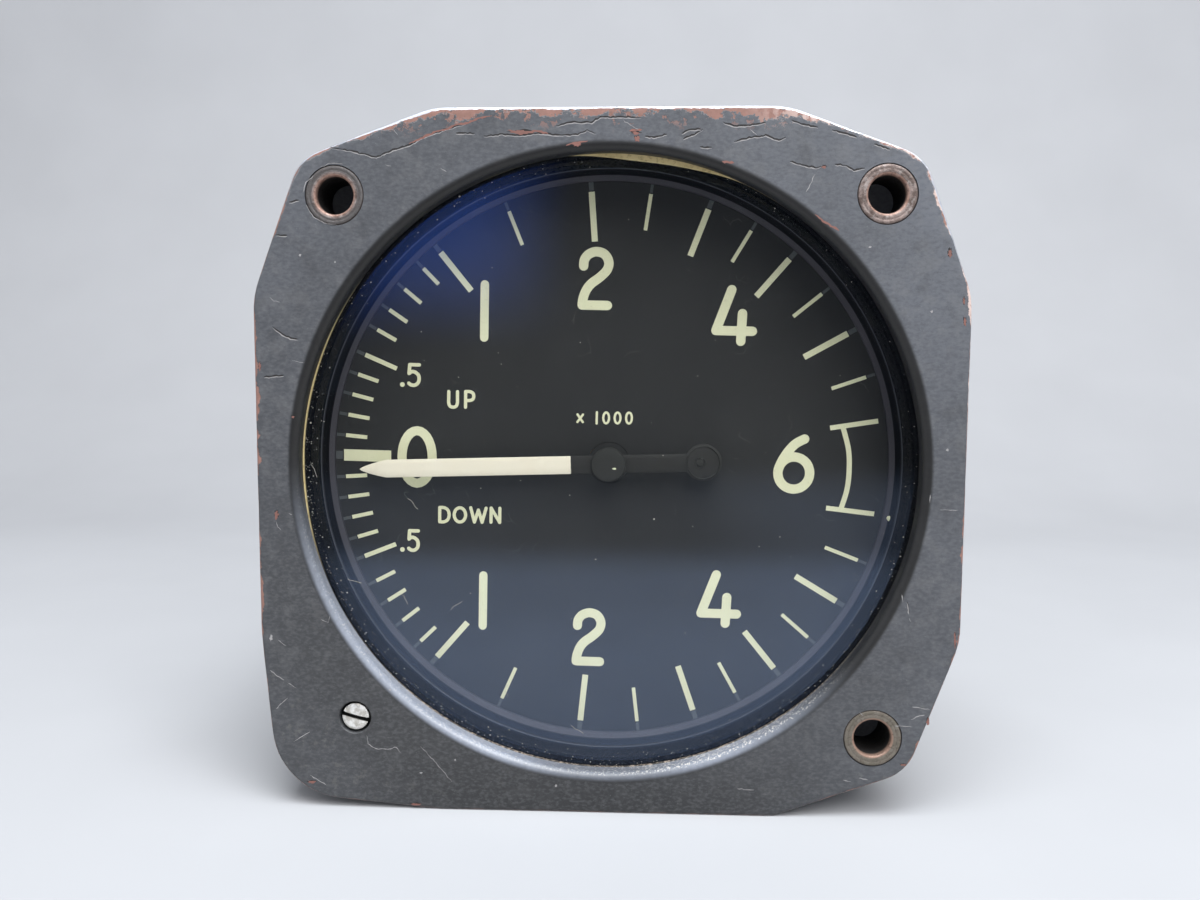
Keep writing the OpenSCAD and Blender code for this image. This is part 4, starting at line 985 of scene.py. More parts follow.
def flange_outline(step=1.2):
    """The whole outline, anticlockwise, with its points a step apart and its corners eased."""
    plain, round_one = corner(plain_corner_r), corner(screw_corner_r)
    loop = []
    for sx, sz, points in ((1, 1, plain), (-1, 1, plain), (-1, -1, round_one), (1, -1, plain)):
        side = [(sx * x, sz * z) for x, z in points]
        loop += side[::-1] if sx * sz > 0 else side
    dense = []
    for (ax, az), (bx, bz) in zip(loop, loop[1:] + loop[:1]):
        parts = max(1, math.ceil(math.hypot(bx - ax, bz - az) / step))
        dense += [(ax + (bx - ax) * i / parts, az + (bz - az) * i / parts) for i in range(parts)]
    for _ in range(2):
        dense = [tuple(0.5 * q[k] + 0.25 * (p[k] + r[k]) for k in (0, 1))
                 for p, q, r in zip(dense[-1:] + dense[:-1], dense, dense[1:] + dense[:1])]
    return dense


def inset(loop, distance):
    """The outline moved inward. The distance may differ from point to point."""
    moved = []
    for i, (x, z) in enumerate(loop):
        (ax, az), (bx, bz) = loop[i - 1], loop[(i + 1) % len(loop)]
        dx, dz = bx - ax, bz - az
        size = math.hypot(dx, dz)
        d = distance[i] if isinstance(distance, list) else distance
        moved.append((x - dz / size * d, z + dx / size * d))
    return moved


outline = flange_outline()
area = sum(a[0] * b[1] - b[0] * a[1] for a, b in zip(outline, outline[1:] + outline[:1])) / 2
print(len(outline), "outline points,", "anticlockwise" if area > 0 else "clockwise")

# %% [markdown]
# ### The edge
# A bevel modifier would round the front edge, but it can't tell the paint where the edge is. Here the
# side and the bevel are rings of points, and each ring carries its distance from the edge as a note. The
# side is slightly rough, and the front lies back unevenly by a few hundredths of a millimetre.

# %% The side and the front bevel
def worn_depth(x, z):
    """How far the front lies back from its plane: a slow unevenness, less than 0.05 mm."""
    return 0.022 + 0.022 * noise.noise(Vector((x * 0.11, z * 0.11, 3.0)))


bevel, bevel_steps = 0.34, 5
round_steps, bushing_steps = 240, 56
far_from_edge, back_note = 20.0, -6.4
lug_r, boss_wall_r, boss_keep_r = 5.2, 6.0, 38.4


def edge_walls(shape):
    """The side of the flange and its front bevel. Returns the outline of the front face."""
    rough_edge = [0.03 + 0.03 * noise.noise(Vector((x * 0.5, z * 0.5, 8.0))) for x, z in outline]
    rings, notes = [], []
    for y in (-0.3, -1.6, -3.2, -4.6, -5.4):
        rings.append([(x, y, z) for x, z in inset(outline, rough_edge)])
        notes += [-(y - front) - 0.24 for _ in outline]
    for k in range(bevel_steps + 1):
        a = math.radians(90 * k / bevel_steps)
        ring = inset(outline, [e + bevel * (1 - math.cos(a)) for e in rough_edge])
        y = front + bevel * (1 - math.sin(a))
        rings.append([(x, y + worn_depth(x, z) * math.sin(a), z) for x, z in ring])
        notes += [-0.11 * (bevel_steps - k) for _ in outline]
    shape.walls(rings, note=notes)
    shape.walls([[(x, 0.0, z) for x, z in inset(outline, 0.3)], rings[0]], note=back_note)
    return [(x, z) for x, _, z in rings[-1]]


shell = Shape()
rim = edge_walls(shell)
print("side and bevel:", len(shell.points), "points")

# %% [markdown]
# ### The front face
# It is filled with small triangles that follow the slow unevenness. They are closer together along the
# outer edge and round the holes, since that is where the wear is fine and light catches.

# %% The front face
def front_face(shape, rim):
    holes = [circle(lip_r + lip_round, round_steps),
             *[circle(bushing_r + bushing_gap, bushing_steps, p) for p in mounting_places],
             circle(screw_hole_r + screw_gap, 40, zero_screw_place)]
    extra = []
    for distance in (0.35, 0.9, 1.7):
        extra += inset(rim, distance)
    for hole in holes:
        middle = [sum(c) / len(hole) for c in zip(*hole)]
        r = math.hypot(hole[0][0] - middle[0], hole[0][1] - middle[1])
        extra += circle(r + 0.35, len(hole) // 2, middle) + circle(r + 0.9, len(hole) // 3, middle)
    extra = [p for p in extra if inside(p, rim) and not any(inside(p, h) for h in holes)]
    extra += scattered(inset(rim, 1.9), holes, 1.25, 1.2)
    flat, faces = filled(rim, holes, extra)
    shape.add([(x, front + worn_depth(x, z), z) for x, z in flat], faces, [near(p, rim) for p in flat])


front_face(shell, rim)
print("with the front face:", len(shell.points), "points")

# %% [markdown]
# ### The opening and the skirt
# The lip is a quarter round, then come the bore that holds the glass and the skirt that the case slides
# into. A boolean could cut the opening out of a block, but all of this is one turned profile, which is
# smoother. Its notes lie far from the edge, so no flaked paint shows there.

# %% The opening and the skirt
def opening_and_skirt(shape):
    """The rounded lip, the bore behind it, the skirt round the bore and the flange's back face."""
    centre = (lip_r + lip_round, front + lip_round)
    profile = rounded(centre, lip_round, 270, 180, 8) + [(lip_r, lip_back - 0.8), (lip_r, lip_back)]
    profile += [(bore_r, lip_back), (bore_r, skirt_end - 0.2), (bore_r + 0.2, skirt_end),
                (skirt_r - 0.3, skirt_end), (skirt_r, skirt_end - 0.3), (skirt_r, 0.0)]
    walls = [[(x, y, z) for x, z in circle(r, round_steps)] for r, y in profile]
    walls[0] = [(x, y + worn_depth(x, z), z) for x, y, z in walls[0]]
    shape.walls(walls, note=[far_from_edge if y <= lip_back else -far_from_edge
                             for _, y in profile for _ in range(round_steps)])
    back = inset(outline, 0.3)
    inner = scattered(inset(back, 0.8), [circle(skirt_r, 96)], 3.0, 1.0)
    flat, faces = filled(back, [circle(skirt_r, round_steps)], inner)
    shape.add([(x, 0.0, z) for x, z in flat], faces, back_note)


opening_and_skirt(shell)
print("with lip, bore and skirt:", len(shell.points), "points")

# %% [markdown]
# ### Lugs and the corner boss
# Behind each bushing the casting has a lug, and behind the zero screw a hollow boss for its gearing. The
# boss would cut into the case, so the points of it that come too near are pushed out to a circle.

# %% Lugs and boss
def lugs_and_boss(shape):
    behind = len(shape.points)
    seat_r = bushing_r + 0.02
    for place in mounting_places:
        shape.turned([(bushing_r + bushing_gap, front + 0.02), (bushing_r + bushing_gap, front + 1.0),
                      (bushing_r + 0.6, front + 1.4), (bushing_r + 0.6, -0.8), (4.8, -0.8), (4.8, -0.3)],
                     place, bushing_steps, loop=False)
        shape.turned([(lug_r, -0.3), (lug_r, lug_end - 0.4), (lug_r - 0.4, lug_end), (seat_r, lug_end),
                      (seat_r, lug_end - 0.6), (seat_r, -0.3)], place, 64)
    shape.turned([(screw_hole_r + screw_gap, front + 0.02), (screw_hole_r, front + 0.14),
                  (screw_hole_r, front + 2.8)], zero_screw_place, 40, loop=False, caps=(False, True))
    start = len(shape.points)
    shape.turned([(boss_wall_r, -0.3), (boss_wall_r, 12.6), (5.6, 13.0), (4.0, 13.0), (3.82, 12.8),
                  (3.82, 10.4), (5.0, 10.4), (5.0, -0.3)], zero_screw_place, 72)
    for i in range(start, len(shape.points)):
        x, y, z = shape.points[i]
        r = math.hypot(x, z)
        if r < boss_keep_r:
            shape.points[i] = (x * boss_keep_r / r, y, z * boss_keep_r / r)
    shape.notes[behind:] = [far_from_edge] * (len(shape.points) - behind)


lugs_and_boss(shell)
flange = piece("flange_shell", shell, "painted_casting", sharp=32, replaces=["flange_casting"])
print("flange shell:", len(flange.data.vertices), "points")

# %% [markdown]
# ## Bushings
# Each mounting hole is lined with a pressed-in ring that has a shallow groove in its face. A bump map
# would show the groove from the front only, so it is part of the turned profile. The hole is as deep as
# in the frame, and the brass is painted darker further in, a painted shade.

# %% Bushings
hole_r = 2.16


def bushing_rings():
    shape = Shape()
    profile = [(hole_r, lug_end - 0.2), (hole_r, front + 0.34), (hole_r + 0.06, front + 0.14),
               (hole_r + 0.20, front + 0.05), (2.72, front + 0.05), (2.80, front + 0.07),
               (2.90, front + 0.07), (2.98, front + 0.04), (3.26, front + 0.03), (3.38, front + 0.16),
               (3.38, lug_end - 0.25), (3.2, lug_end - 0.05), (hole_r + 0.2, lug_end - 0.05)]
    for place in mounting_places:
        shape.turned(profile, place, 64)
    return piece("bushing_rings", shape, "bushing_brass", sharp=50, replaces=["mounting_bushings"])


print("made:", bushing_rings().name, "at", mounting_places)

# %% [markdown]
# ## Gasket
# A thin tan sheet lies between lip and glass. It shows only where it is squeezed inward, so a plain ring
# would be hidden all round. Its inner radius is a formula of the angle instead: a bulge near the top, a
# line at the left, a little more below, and a slight wave.

# %% Gasket
bulge_at, bulge_half, bulge_depth = 81.5, 17, 0.72
gasket_t = 0.4


def gasket_inner_r(a):
    """The inner radius at an angle, in radians."""
    off = (math.degrees(a) - bulge_at + 180) % 360 - 180
    bulge = 0.0
    if abs(off) < bulge_half:
        bulge = bulge_depth * max(0.0, math.cos(math.radians(off) * 90 / bulge_half)) ** 1.3
    left = 0.17 * max(0.0, 1 - ((math.degrees(a) - 172) / 34) ** 2)
    low = 0.12 * max(0.0, -math.sin(a)) ** 2
    wave = 0.05 * noise.noise(Vector((math.cos(a) * 6, math.sin(a) * 6, 0.4)))
    return lip_r + 0.06 - bulge - left - low + wave * (1 + 2 * (bulge > 0))


def gasket_ring():
    shape = Shape()
    steps, rings = 360, []
    for r_extra, y in ((0.0, lip_back + 0.06), (0.06, lip_back), (None, lip_back),
                       (None, lip_back + gasket_t), (0.06, lip_back + gasket_t), (0.0, lip_back + 0.34)):
        ring = []
        for a in turns(steps):
            r = slide if r_extra is None else gasket_inner_r(a) + r_extra
            ring.append((r * math.cos(a), y, r * math.sin(a)))
        rings.append(ring)
    shape.walls(rings + rings[:1])
    return piece("gasket_ring", shape, "gasket_cork", replaces=["glass_gasket"])


print("made:", gasket_ring().name, "with its bulge at", bulge_at, "degrees")

# %% [markdown]
# ## Glass
# The cover glass is a flat disc with a small chamfer in front. A single plane would look the same from
# straight ahead, but at a slant the rim would be missing.

# %% Glass
def glass_disc():
    shape = Shape()
    shape.turned([(slide, glass_back), (slide, glass_front + 0.3), (slide - 0.3, glass_front)], steps=160,
                 loop=False, caps=(True, True))
    return piece("glass_disc", shape, "glass", replaces=["cover_glass"])


print("made:", glass_disc().name, "of radius", round(slide, 2), "mm")

# %% [markdown]
# ## The ring between glass and dial
# It narrows in steps from the glass to the dial: a thin bead, a wall that leans in, and a slope at the
# dial. Those edges, with the highlight and sheen painted on them in the ring's material, make the fine
# bright lines round the dial, so the profile has them all.

# %% Glossy ring
def glossy_ring():
    shape = Shape()
    shape.turned([(slide, mask_low[1]), (36.3, mask_low[1]), (36.22, mask_low[1] + 0.1), (35.62, -0.08),
                  (35.55, -0.05), (35.50, 0.0), (35.48, 0.06), (35.50, 0.12), (35.54, 0.18), (35.22, 1.42),
                  (35.14, 1.52), (35.02, 1.6), (34.56, 1.94), (34.5, 2.0), (34.5, dial_front),
                  (slide, dial_front)], steps=240)
    return piece("glossy_ring", shape, "mask_black", sharp=28, replaces=["dial_mask_ring"])


print("made:", glossy_ring().name, "down to the dial at", round(dial_front, 2), "mm")

# %% [markdown]
# ## Slotted screws
# A slot could be cut with a boolean, but on a small domed face that leaves slivers that shade badly. Here
# the face is filled with triangles that have lines along the slot's sides, and the points between those
# lines are lowered. The same helper makes the zero screw and the case's screws.

# %% A slotted head
def slotted_head(shape, centre, radius, dome, width, depth, angle, top, bottom, place=None):
    """A domed screw head with a real slot. It faces -Y, unless place turns the points elsewhere."""
    c, s = math.cos(math.radians(angle)), math.sin(math.radians(angle))

    def across(x, z):
        return -(x * s) + z * c

    def height(x, z):
        r = math.hypot(x, z)
        y = top + dome * (r / radius) ** 2 + (0.08 if r > radius * 0.97 else 0.0)
        return y + depth if abs(across(x, z)) < width / 2 + 1e-4 else y

    special = [math.radians(angle) + side + sign * math.asin((width / 2 + extra) / radius)
               for side in (0, math.pi) for sign in (1, -1) for extra in (0.0, 0.02)]
    angles = sorted([a % (2 * math.pi) for a in special] +
                    [a for a in turns(64) if min(abs((a - b + math.pi) % (2 * math.pi) - math.pi)
                                                 for b in special) > 0.03])
    rim = [(radius * math.cos(a), radius * math.sin(a)) for a in angles]
    lines, extra = [], []
    for offset in (width / 2, width / 2 + 0.02, -width / 2, -width / 2 - 0.02):
        half = math.sqrt(radius ** 2 - offset ** 2) * 0.985
        lines.append([(t * half / 8 * c - offset * s, t * half / 8 * s + offset * c) for t in range(-8, 9)])
    for k in (0.97, 0.9, 0.72, 0.5, 0.28):
        extra += [p for p in circle(radius * k, 40) if abs(abs(across(*p)) - width / 2) > 0.05]
    flat, faces = filled(rim, (), extra, lines)
    points = [(x, height(x, z), z) for x, z in flat]
    side = [[(x, height(x, z), z) for x, z in rim], [(x, bottom, z) for x, z in rim]]
    head = Shape()
    head.add(points, faces)
    head.walls(side, caps=(False, True))
    move = place or (lambda p: (p[0] + centre[0], p[1], p[2] + centre[1]))
    shape.add([move(p) for p in head.points], head.faces)


print("slotted heads ready")

# %% [markdown]
# The zero screw sits in the flange's lower left corner, with its slot at the slant that the photograph
# shows. Behind the head, a stem reaches back to the gearing. They could be two pieces, but they turn
# together, so they are one.

# %% The zero screw
def zero_screw_head():
    shape = Shape()
    slotted_head(shape, zero_screw_place, 1.61, 0.16, 0.48, 0.62, -14.7, front + 0.15, front + 2.45)
    shape.turned([(1.1, front + 2.4), (1.1, 7.6), (0.8, 7.6), (0.8, 12.0)], zero_screw_place, 40,
                 loop=False, caps=(True, True))
    return piece("zero_screw_head", shape, "adjuster_steel", finishes["screw_face"],
                 body="zero_screw_body", sharp=40, replaces=["zero_screw"])


zero_screw = zero_screw_head()
print("zero screw:", len(zero_screw.data.vertices), "points")

# %% [markdown]
# ## The dial's marks
# The marks are cream paint on the dial. They could be a picture on it, but they stand a little above it
# and catch light at their edges. So every mark is a thin film. A stroke is a row of four-sided faces with
# round ends.

# %% Curves and strokes
def smooth(points, steps=5, closed=False):
    """A soft curve through the points."""
    n = len(points)
    curve = []
    for i in range(n if closed else n - 1):
        p = [points[(i + k) % n] if closed else points[max(0, min(n - 1, i + k))] for k in (-1, 0, 1, 2)]
        for j in range(steps):
            t = j / steps
            curve.append(tuple(
                0.5 * (2 * p[1][k] + (p[2][k] - p[0][k]) * t
                       + (2 * p[0][k] - 5 * p[1][k] + 4 * p[2][k] - p[3][k]) * t * t
                       + (3 * p[1][k] - p[0][k] - 3 * p[2][k] + p[3][k]) * t ** 3) for k in (0, 1)))
    return curve if closed else curve + [tuple(points[-1])]


def stroke(points, width, closed=False, ends=True):
    """Faces of a painted line."""
    n, sides = len(points), []
    for i, (x, z) in enumerate(points):
        before = points[i - 1] if closed or i else points[0]
        after = points[(i + 1) % n] if closed or i < n - 1 else points[-1]
        dx, dz = after[0] - before[0], after[1] - before[1]
        size = math.hypot(dx, dz) or 1.0
        sides.append(((x - dz / size * width / 2, z + dx / size * width / 2),
                      (x + dz / size * width / 2, z - dx / size * width / 2)))
    faces = []
    for i in range(n if closed else n - 1):
        a, b = sides[i], sides[(i + 1) % n]
        faces.append([a[1], b[1], b[0], a[0]])
    if ends and not closed:
        faces += [circle(width / 2, 14, points[0]), circle(width / 2, 14, points[-1])]
    return faces


print("a curve through 3 points has", len(smooth([(0, 0), (1, 1), (2, 0)])), "points")

# %% [markdown]
# Strokes that cross would lie in each other and flicker in the render. So all faces of a film are merged
# into one flat area before it gets its thickness.

# %% Films
def film(shape, faces, top, base):
    """Merges flat faces and gives them a thickness along Y. The top can be a function of x and z."""
    points, loops = [], []
    for face in faces:
        loops.append(list(range(len(points), len(points) + len(face))))
        points += [Vector(p) for p in face]
    flat, _, found, _, _, owner = delaunay_2d_cdt(points, [], loops, 1, 1e-4)
    kept = [list(t) for t, o in zip(found, owner) if o]
    count = {}
    for t in kept:
        for a, b in zip(t, t[1:] + t[:1]):
            count[frozenset((a, b))] = count.get(frozenset((a, b)), 0) + 1
    height = top if callable(top) else lambda x, z: top
    start = shape.add([(p.x, height(p.x, p.y), p.y) for p in flat], kept)
    low = shape.add([(p.x, base, p.y) for p in flat], [])
    for pair, times in count.items():
        if times == 1:
            a, b = tuple(pair)
            shape.faces.append([start + a, start + b, low + b, low + a])


sample = Shape()
film(sample, stroke([(0, 0), (4, 0)], 1.0), 0.0, 0.1)
print("a 4 mm stroke as a film:", len(sample.faces), "faces")

# %% [markdown]
# ### Breaks in the paint
# A noise can't know where this flange was knocked. The breaks, scratches and chips that the photograph
# shows are thin films on the casting, placed by the spots that they run through. A break is a dark gap
# with a painted highlight under it, the lit edge of the next flake. A chip is given by its middle, its
# width and its height, and gets a dark rim along its upper edge, a painted shade.

# %% Their places in the photograph
breaks = [
    [(330, 147), (347, 150), (364, 154), (376, 157), (393, 150), (411, 144), (423, 137), (446, 129),
     (466, 123)],
    [(484, 136), (500, 134), (520, 135), (538, 133), (560, 135), (578, 134), (587, 130), (596, 133)],
    [(556, 126), (569, 122), (592, 122), (600, 117), (623, 117), (641, 117)],
    [(645, 136), (654, 137), (667, 134)],
    [(682, 133), (690, 129), (701, 129)], [(683, 139), (694, 134), (703, 129)],
    [(723, 122), (734, 126), (750, 125), (766, 122)],
    [(734, 141), (752, 137), (766, 135), (779, 140), (786, 137)],
    [(700, 147), (712, 147)], [(790, 161), (800, 164), (816, 168), (821, 166)],
    [(835, 164), (845, 165), (854, 170), (865, 168)], [(456, 133), (475, 133)],
    [(289, 202), (299, 200)], [(276, 235), (287, 235)], [(264, 377), (274, 376), (284, 375)],
    [(272, 326), (280, 333), (290, 338), (298, 339)], [(902, 593), (903, 601)], [(907, 602), (909, 613)],
    [(792, 120), (806, 125), (818, 127)], [(832, 130), (846, 133), (857, 137)], [(874, 144), (890, 149)],
]
bared = [
    [(409, 144), (423, 138), (436, 132), (446, 130), (456, 125), (466, 124), (480, 118), (492, 116)],
    [(508, 130), (520, 134), (536, 131), (548, 134)], [(630, 131), (642, 130)], [(722, 162), (734, 163)],
    [(815, 215), (823, 221), (831, 226), (839, 231)], [(566, 146), (576, 143), (588, 141)],
]
scratches = [
    [(393, 129), (398, 135)], [(385, 165), (391, 166)], [(623, 120), (632, 126), (641, 131)],
    [(750, 129), (757, 135)], [(270, 297), (274, 301), (280, 302)], [(292, 361), (304, 363)],
    [(276, 522), (278, 527), (281, 530)], [(289, 513), (292, 515)], [(321, 620), (328, 622), (330, 616)],
    [(278, 640), (286, 646)], [(270, 670), (277, 676), (284, 680)], [(288, 683), (296, 688)],
    [(276, 709), (282, 703), (288, 698)], [(294, 742), (302, 736), (310, 732)],
    [(367, 736), (368, 744), (376, 749), (390, 749), (396, 747), (401, 753)],
    [(420, 746), (436, 763), (452, 782)], [(912, 707), (921, 708), (930, 710)],
    [(911, 720), (918, 716), (925, 715)], [(895, 726), (904, 726), (912, 727)], [(737, 789), (754, 790)],
    [(930, 495), (930, 503)], [(940, 510), (958, 510)], [(909, 618), (911, 622)],
    [(313, 176), (306, 182), (303, 192)], [(306, 205), (313, 217), (324, 223), (337, 225)],
    [(321, 167), (331, 163), (343, 164)], [(815, 174), (811, 183), (806, 192)], [(440, 168), (447, 172)],
    [(860, 712), (863, 716)], [(843, 780), (851, 782)], [(859, 778), (868, 780)], [(310, 775), (326, 785)],
]
chips = [(259.5, 366, 2.6, 9), (293, 417, 3.4, 2.2), (276.5, 515, 4.6, 8.5), (824, 167, 5, 3.2),
         (636, 133, 9, 3.2), (637, 139, 5.5, 6.5), (522, 132, 24, 4.2), (950, 253, 5, 9),
         (965, 322, 3, 11), (964, 301, 2.4, 8), (928, 722, 3, 8), (312, 782, 9, 2.6), (416, 804.5, 11, 2.6),
         (903, 765, 6, 2.2), (577, 144.5, 9, 4), (955, 640, 2.2, 16)]
pale_chips = [(271, 638, 3.2, 7), (931.7, 311.7, 3, 3), (947.5, 450, 3, 3), (421, 773, 3, 2),
              (870, 247, 3, 2), (455, 760, 2, 2), (556, 786, 2.4, 3), (390, 690, 2.4, 2),
              (300, 255, 2.4, 3), (335, 262, 2, 2)]


print(len(breaks), "breaks,", len(bared), "bared lines,", len(scratches), "scratches,",
      len(chips) + len(pale_chips), "chips")

# %% [markdown]
# A line with even sides would look drawn. A ribbon goes from spot to spot in steps of about a quarter of
# a millimetre, and each step is shifted and widened at random, with a fixed seed so that it always comes
# out alike. The films follow the front's unevenness.

# %% Ribbons and blobs on the paint
def on_paint(shape, faces, lift):
    """Lays flat faces on the flange's uneven front."""
    film(shape, faces, lambda x, z: front + max(0.0004, worn_depth(x, z) - lift), front + 0.07)


def ribbon(spots, width, drop=0.0, seed=0):
    """A ragged band along the spots, thin at both ends and `drop` millimetres lower."""
    line = [seen(spot) for spot in spots]
    path, rng = [], random.Random(seed)
    for (ax, az), (bx, bz) in zip(line, line[1:]):
        steps = max(1, round(math.hypot(bx - ax, bz - az) / 0.28))
        path += [(ax + (bx - ax) * i / steps + rng.uniform(-0.05, 0.05),
                  az + (bz - az) * i / steps + rng.uniform(-0.06, 0.06) - drop) for i in range(steps)]
    path.append((line[-1][0], line[-1][1] - drop))
    last, sides = len(path) - 1, []
    for i, (x, z) in enumerate(path):
        before, after = path[max(i - 1, 0)], path[min(i + 1, last)]
        dx, dz = after[0] - before[0], after[1] - before[1]
        size = math.hypot(dx, dz) or 1.0
        half = width / 2 * min(1.0, 0.25 + 5 * min(i, last - i) / last) * rng.uniform(0.45, 1.35)
        aside, along = dz / size * half, dx / size * half
        sides.append(((x - aside, z + along), (x + aside, z - along)))
    return [[a[1], b[1], b[0], a[0]] for a, b in zip(sides, sides[1:])]


def blob(x, y, wide, high, seed):
    """A chip with a ragged outline."""
    rng = random.Random(seed)
    ring = [(math.cos(a), math.sin(a), rng.uniform(0.5, 1.2)) for a in turns(22)]
    return [seen((x + wide / 2 * c * size, y - high / 2 * s * size)) for c, s, size in ring][::-1]


print("the first break starts at", [round(v, 2) for v in seen(breaks[0][0])], "mm")

# %% [markdown]
# The marks are gathered by colour: dark gaps with the painted shade round the chips, pale scratches and
# chips with the painted highlights under the breaks, and red primer. Three films are enough for all of
# them, each lifted a little further than the last so that they don't lie in each other.

# %% Cracks, flake edges and chips
def worn_spots():
    rng = random.Random(3)
    dark, pale_and_highlights, red = [], [], []
    for k, spots in enumerate(breaks):
        dark += ribbon(spots, 0.20, 0.0, k)
        # painted highlight: a lit flake edge just below each break
        pale_and_highlights += ribbon(spots, 0.10, 0.15, k)
    for k, spots in enumerate(bared):
        red += ribbon(spots, 0.24, -0.04, k + 30)
    for k, spots in enumerate(scratches):
        pale_and_highlights += ribbon(spots, rng.uniform(0.05, 0.09), 0.0, k)
    for k, spot in enumerate(chips):
        red.append(blob(*spot, k))
        # painted shade: a dark rim round each chip, shifted to its upper edge
        dark.append(blob(spot[0], spot[1] - 0.7, spot[2] * 1.12, spot[3] * 1.02, k + 50))
    for k, spot in enumerate(pale_chips):
        pale_and_highlights.append(blob(*spot, k + 100))
    made = []
    for name, faces, lift, finish in (("crack_and_shade_films", dark, 0.004, cracks_and_chip_shade),
                                      ("lit_edges_and_scratches", pale_and_highlights, 0.008, scratches_and_edge_highlights),
                                      ("primer_chips", red, 0.012, primer_red)):
        shape = Shape()
        on_paint(shape, faces, lift)
        made.append(piece(name, shape, "painted_casting", finish, sharp=40))
    return made


cracks_and_chip_shade = plain_paint("cracks_and_chip_shade", shade(26, 23, 23), shade(40, 36, 36), 0.7, dust=0.0)
scratches_and_edge_highlights = plain_paint("scratches_and_edge_highlights", shade(128, 126, 126), shade(168, 165, 165), 0.55, dust=0.0)
primer_red = plain_paint("primer_red", shade(100, 74, 68), shade(146, 96, 86), 0.6, peel=0.4, dust=0.7,
                         dust_colour=shade(196, 172, 164))
paint_marks = worn_spots()
print("marks in the paint:", sum(len(mark.data.polygons) for mark in paint_marks), "faces")

# %% [markdown]
# ### The dial's signs
# A font would be quick, but its forms would differ from these narrow ones with round ends. Each sign is
# a few strokes in a box from 0 to 1, which is then put where the photograph shows the sign.

# %% The strokes of each sign
ellipse = [(0.5 + 0.5 * math.cos(a), 0.5 + 0.5 * math.sin(a)) for a in turns(28)]
glyphs = {
    "0": [(ellipse, "loop")],
    "1": [([(0.5, 0), (0.5, 1)], "line")],
    "2": [([(0.03, 0.73), (0.05, 0.84), (0.18, 0.935), (0.375, 0.988), (0.55, 1.0), (0.78, 0.97),
            (0.94, 0.887), (1.0, 0.78), (0.94, 0.67), (0.8, 0.587), (0.6, 0.5), (0.375, 0.42), (0.2, 0.324),
            (0.09, 0.216), (0.02, 0.096), (0, 0)], "curve"), ([(0, 0), (0.98, 0)], "line")],
    "4": [([(0.4, 1), (0, 0.2)], "line"), ([(0, 0.2), (1, 0.2)], "line"),
          ([(0.714, 0.54), (0.69, 0)], "line")],
    "5": [([(1, 1), (0.08, 1)], "line"), ([(0.08, 1), (0.02, 0.57)], "line"),
          ([(0.02, 0.57), (0.25, 0.66), (0.6, 0.64), (0.92, 0.5), (1, 0.3), (0.88, 0.11), (0.55, 0),
            (0.2, 0.02), (0, 0.09)], "curve")],
    "6": [([(0.5 + 0.5 * math.cos(a), 0.32 + 0.32 * math.sin(a)) for a in turns(28)], "loop"),
          ([(0.8, 1), (0.52, 0.9), (0.3, 0.745), (0.12, 0.56), (0.02, 0.4), (0, 0.32)], "curve")],
    "U": [([(0, 1), (0, 0.6), (0, 0.3), (0.13, 0.08), (0.5, 0), (0.87, 0.08), (1, 0.3), (1, 0.6), (1, 1)],
           "curve")],
    "P": [([(0, 0), (0, 1)], "line"),
          ([(0, 1), (0.55, 1), (0.9, 0.9), (1, 0.72), (0.9, 0.53), (0.55, 0.44), (0, 0.44)], "curve")],
    "D": [([(0, 0), (0, 1)], "line"),
          ([(0, 1), (0.45, 1), (0.85, 0.84), (1, 0.5), (0.85, 0.16), (0.45, 0), (0, 0)], "curve")],
    "O": [(ellipse, "loop")],
    "W": [([(0, 1), (0.25, 0)], "line"), ([(0.25, 0), (0.5, 0.85)], "line"),
          ([(0.5, 0.85), (0.75, 0)], "line"), ([(0.75, 0), (1, 1)], "line")],
    "N": [([(0, 0), (0, 1)], "line"), ([(0, 1), (1, 0)], "line"), ([(1, 0), (1, 1)], "line")],
    "x": [([(0, 0.1), (1, 0.8)], "line"), ([(0, 0.8), (1, 0.1)], "line")],
}
print("signs:", " ".join(glyphs))

# %% [markdown]
# The real dial is turned by about one degree in its case, so every sign is turned with it. Small words
# are set sign by sign, each with its own width.

# %% Writing
dial_turn = -1.05


def written(sign, box, width):
    """Faces of one sign that fills a box: its left, right, low and high edge in millimetres."""
    left, right, low, high = box
    w, h = max(right - left - width, 0.001), high - low - width
    mid = ((left + right) / 2, (low + high) / 2)
    c, s = math.cos(math.radians(dial_turn)), math.sin(math.radians(dial_turn))
    faces = []
    for points, kind in glyphs[sign]:
        if sign == "1":
            part = stroke([(mid[0], low + width * 0.4), (mid[0], high - width * 0.4)], width)
        else:
            placed = [(left + width / 2 + x * w, low + width / 2 + z * h) for x, z in points]
            placed = smooth(placed) if kind == "curve" else placed
            part = stroke(placed, width, closed=kind == "loop")
        for face in part:
            faces.append([(mid[0] + (x - mid[0]) * c - (z - mid[1]) * s,
                           mid[1] + (x - mid[0]) * s + (z - mid[1]) * c) for x, z in face])
    return faces


def row(text, left, low, high, width, letter, gap):
    """Small signs side by side. Letter gives each one's width."""
    faces = []
    for sign in text:
        w = letter.get(sign, letter["any"])
        if sign != " ":
            faces += written(sign, (left, left + w, low, high), width)
        left += w + gap
    return faces


print("the dial is turned by", dial_turn, "degrees")

# %% [markdown]
# ### The scale
# Zero points left, and the scale runs both ways from there to an end mark at the 6. It isn't even: the
# ticks are closer together at high rates. So the place of each rate is listed, and a loop draws it for
# climbing and sinking.

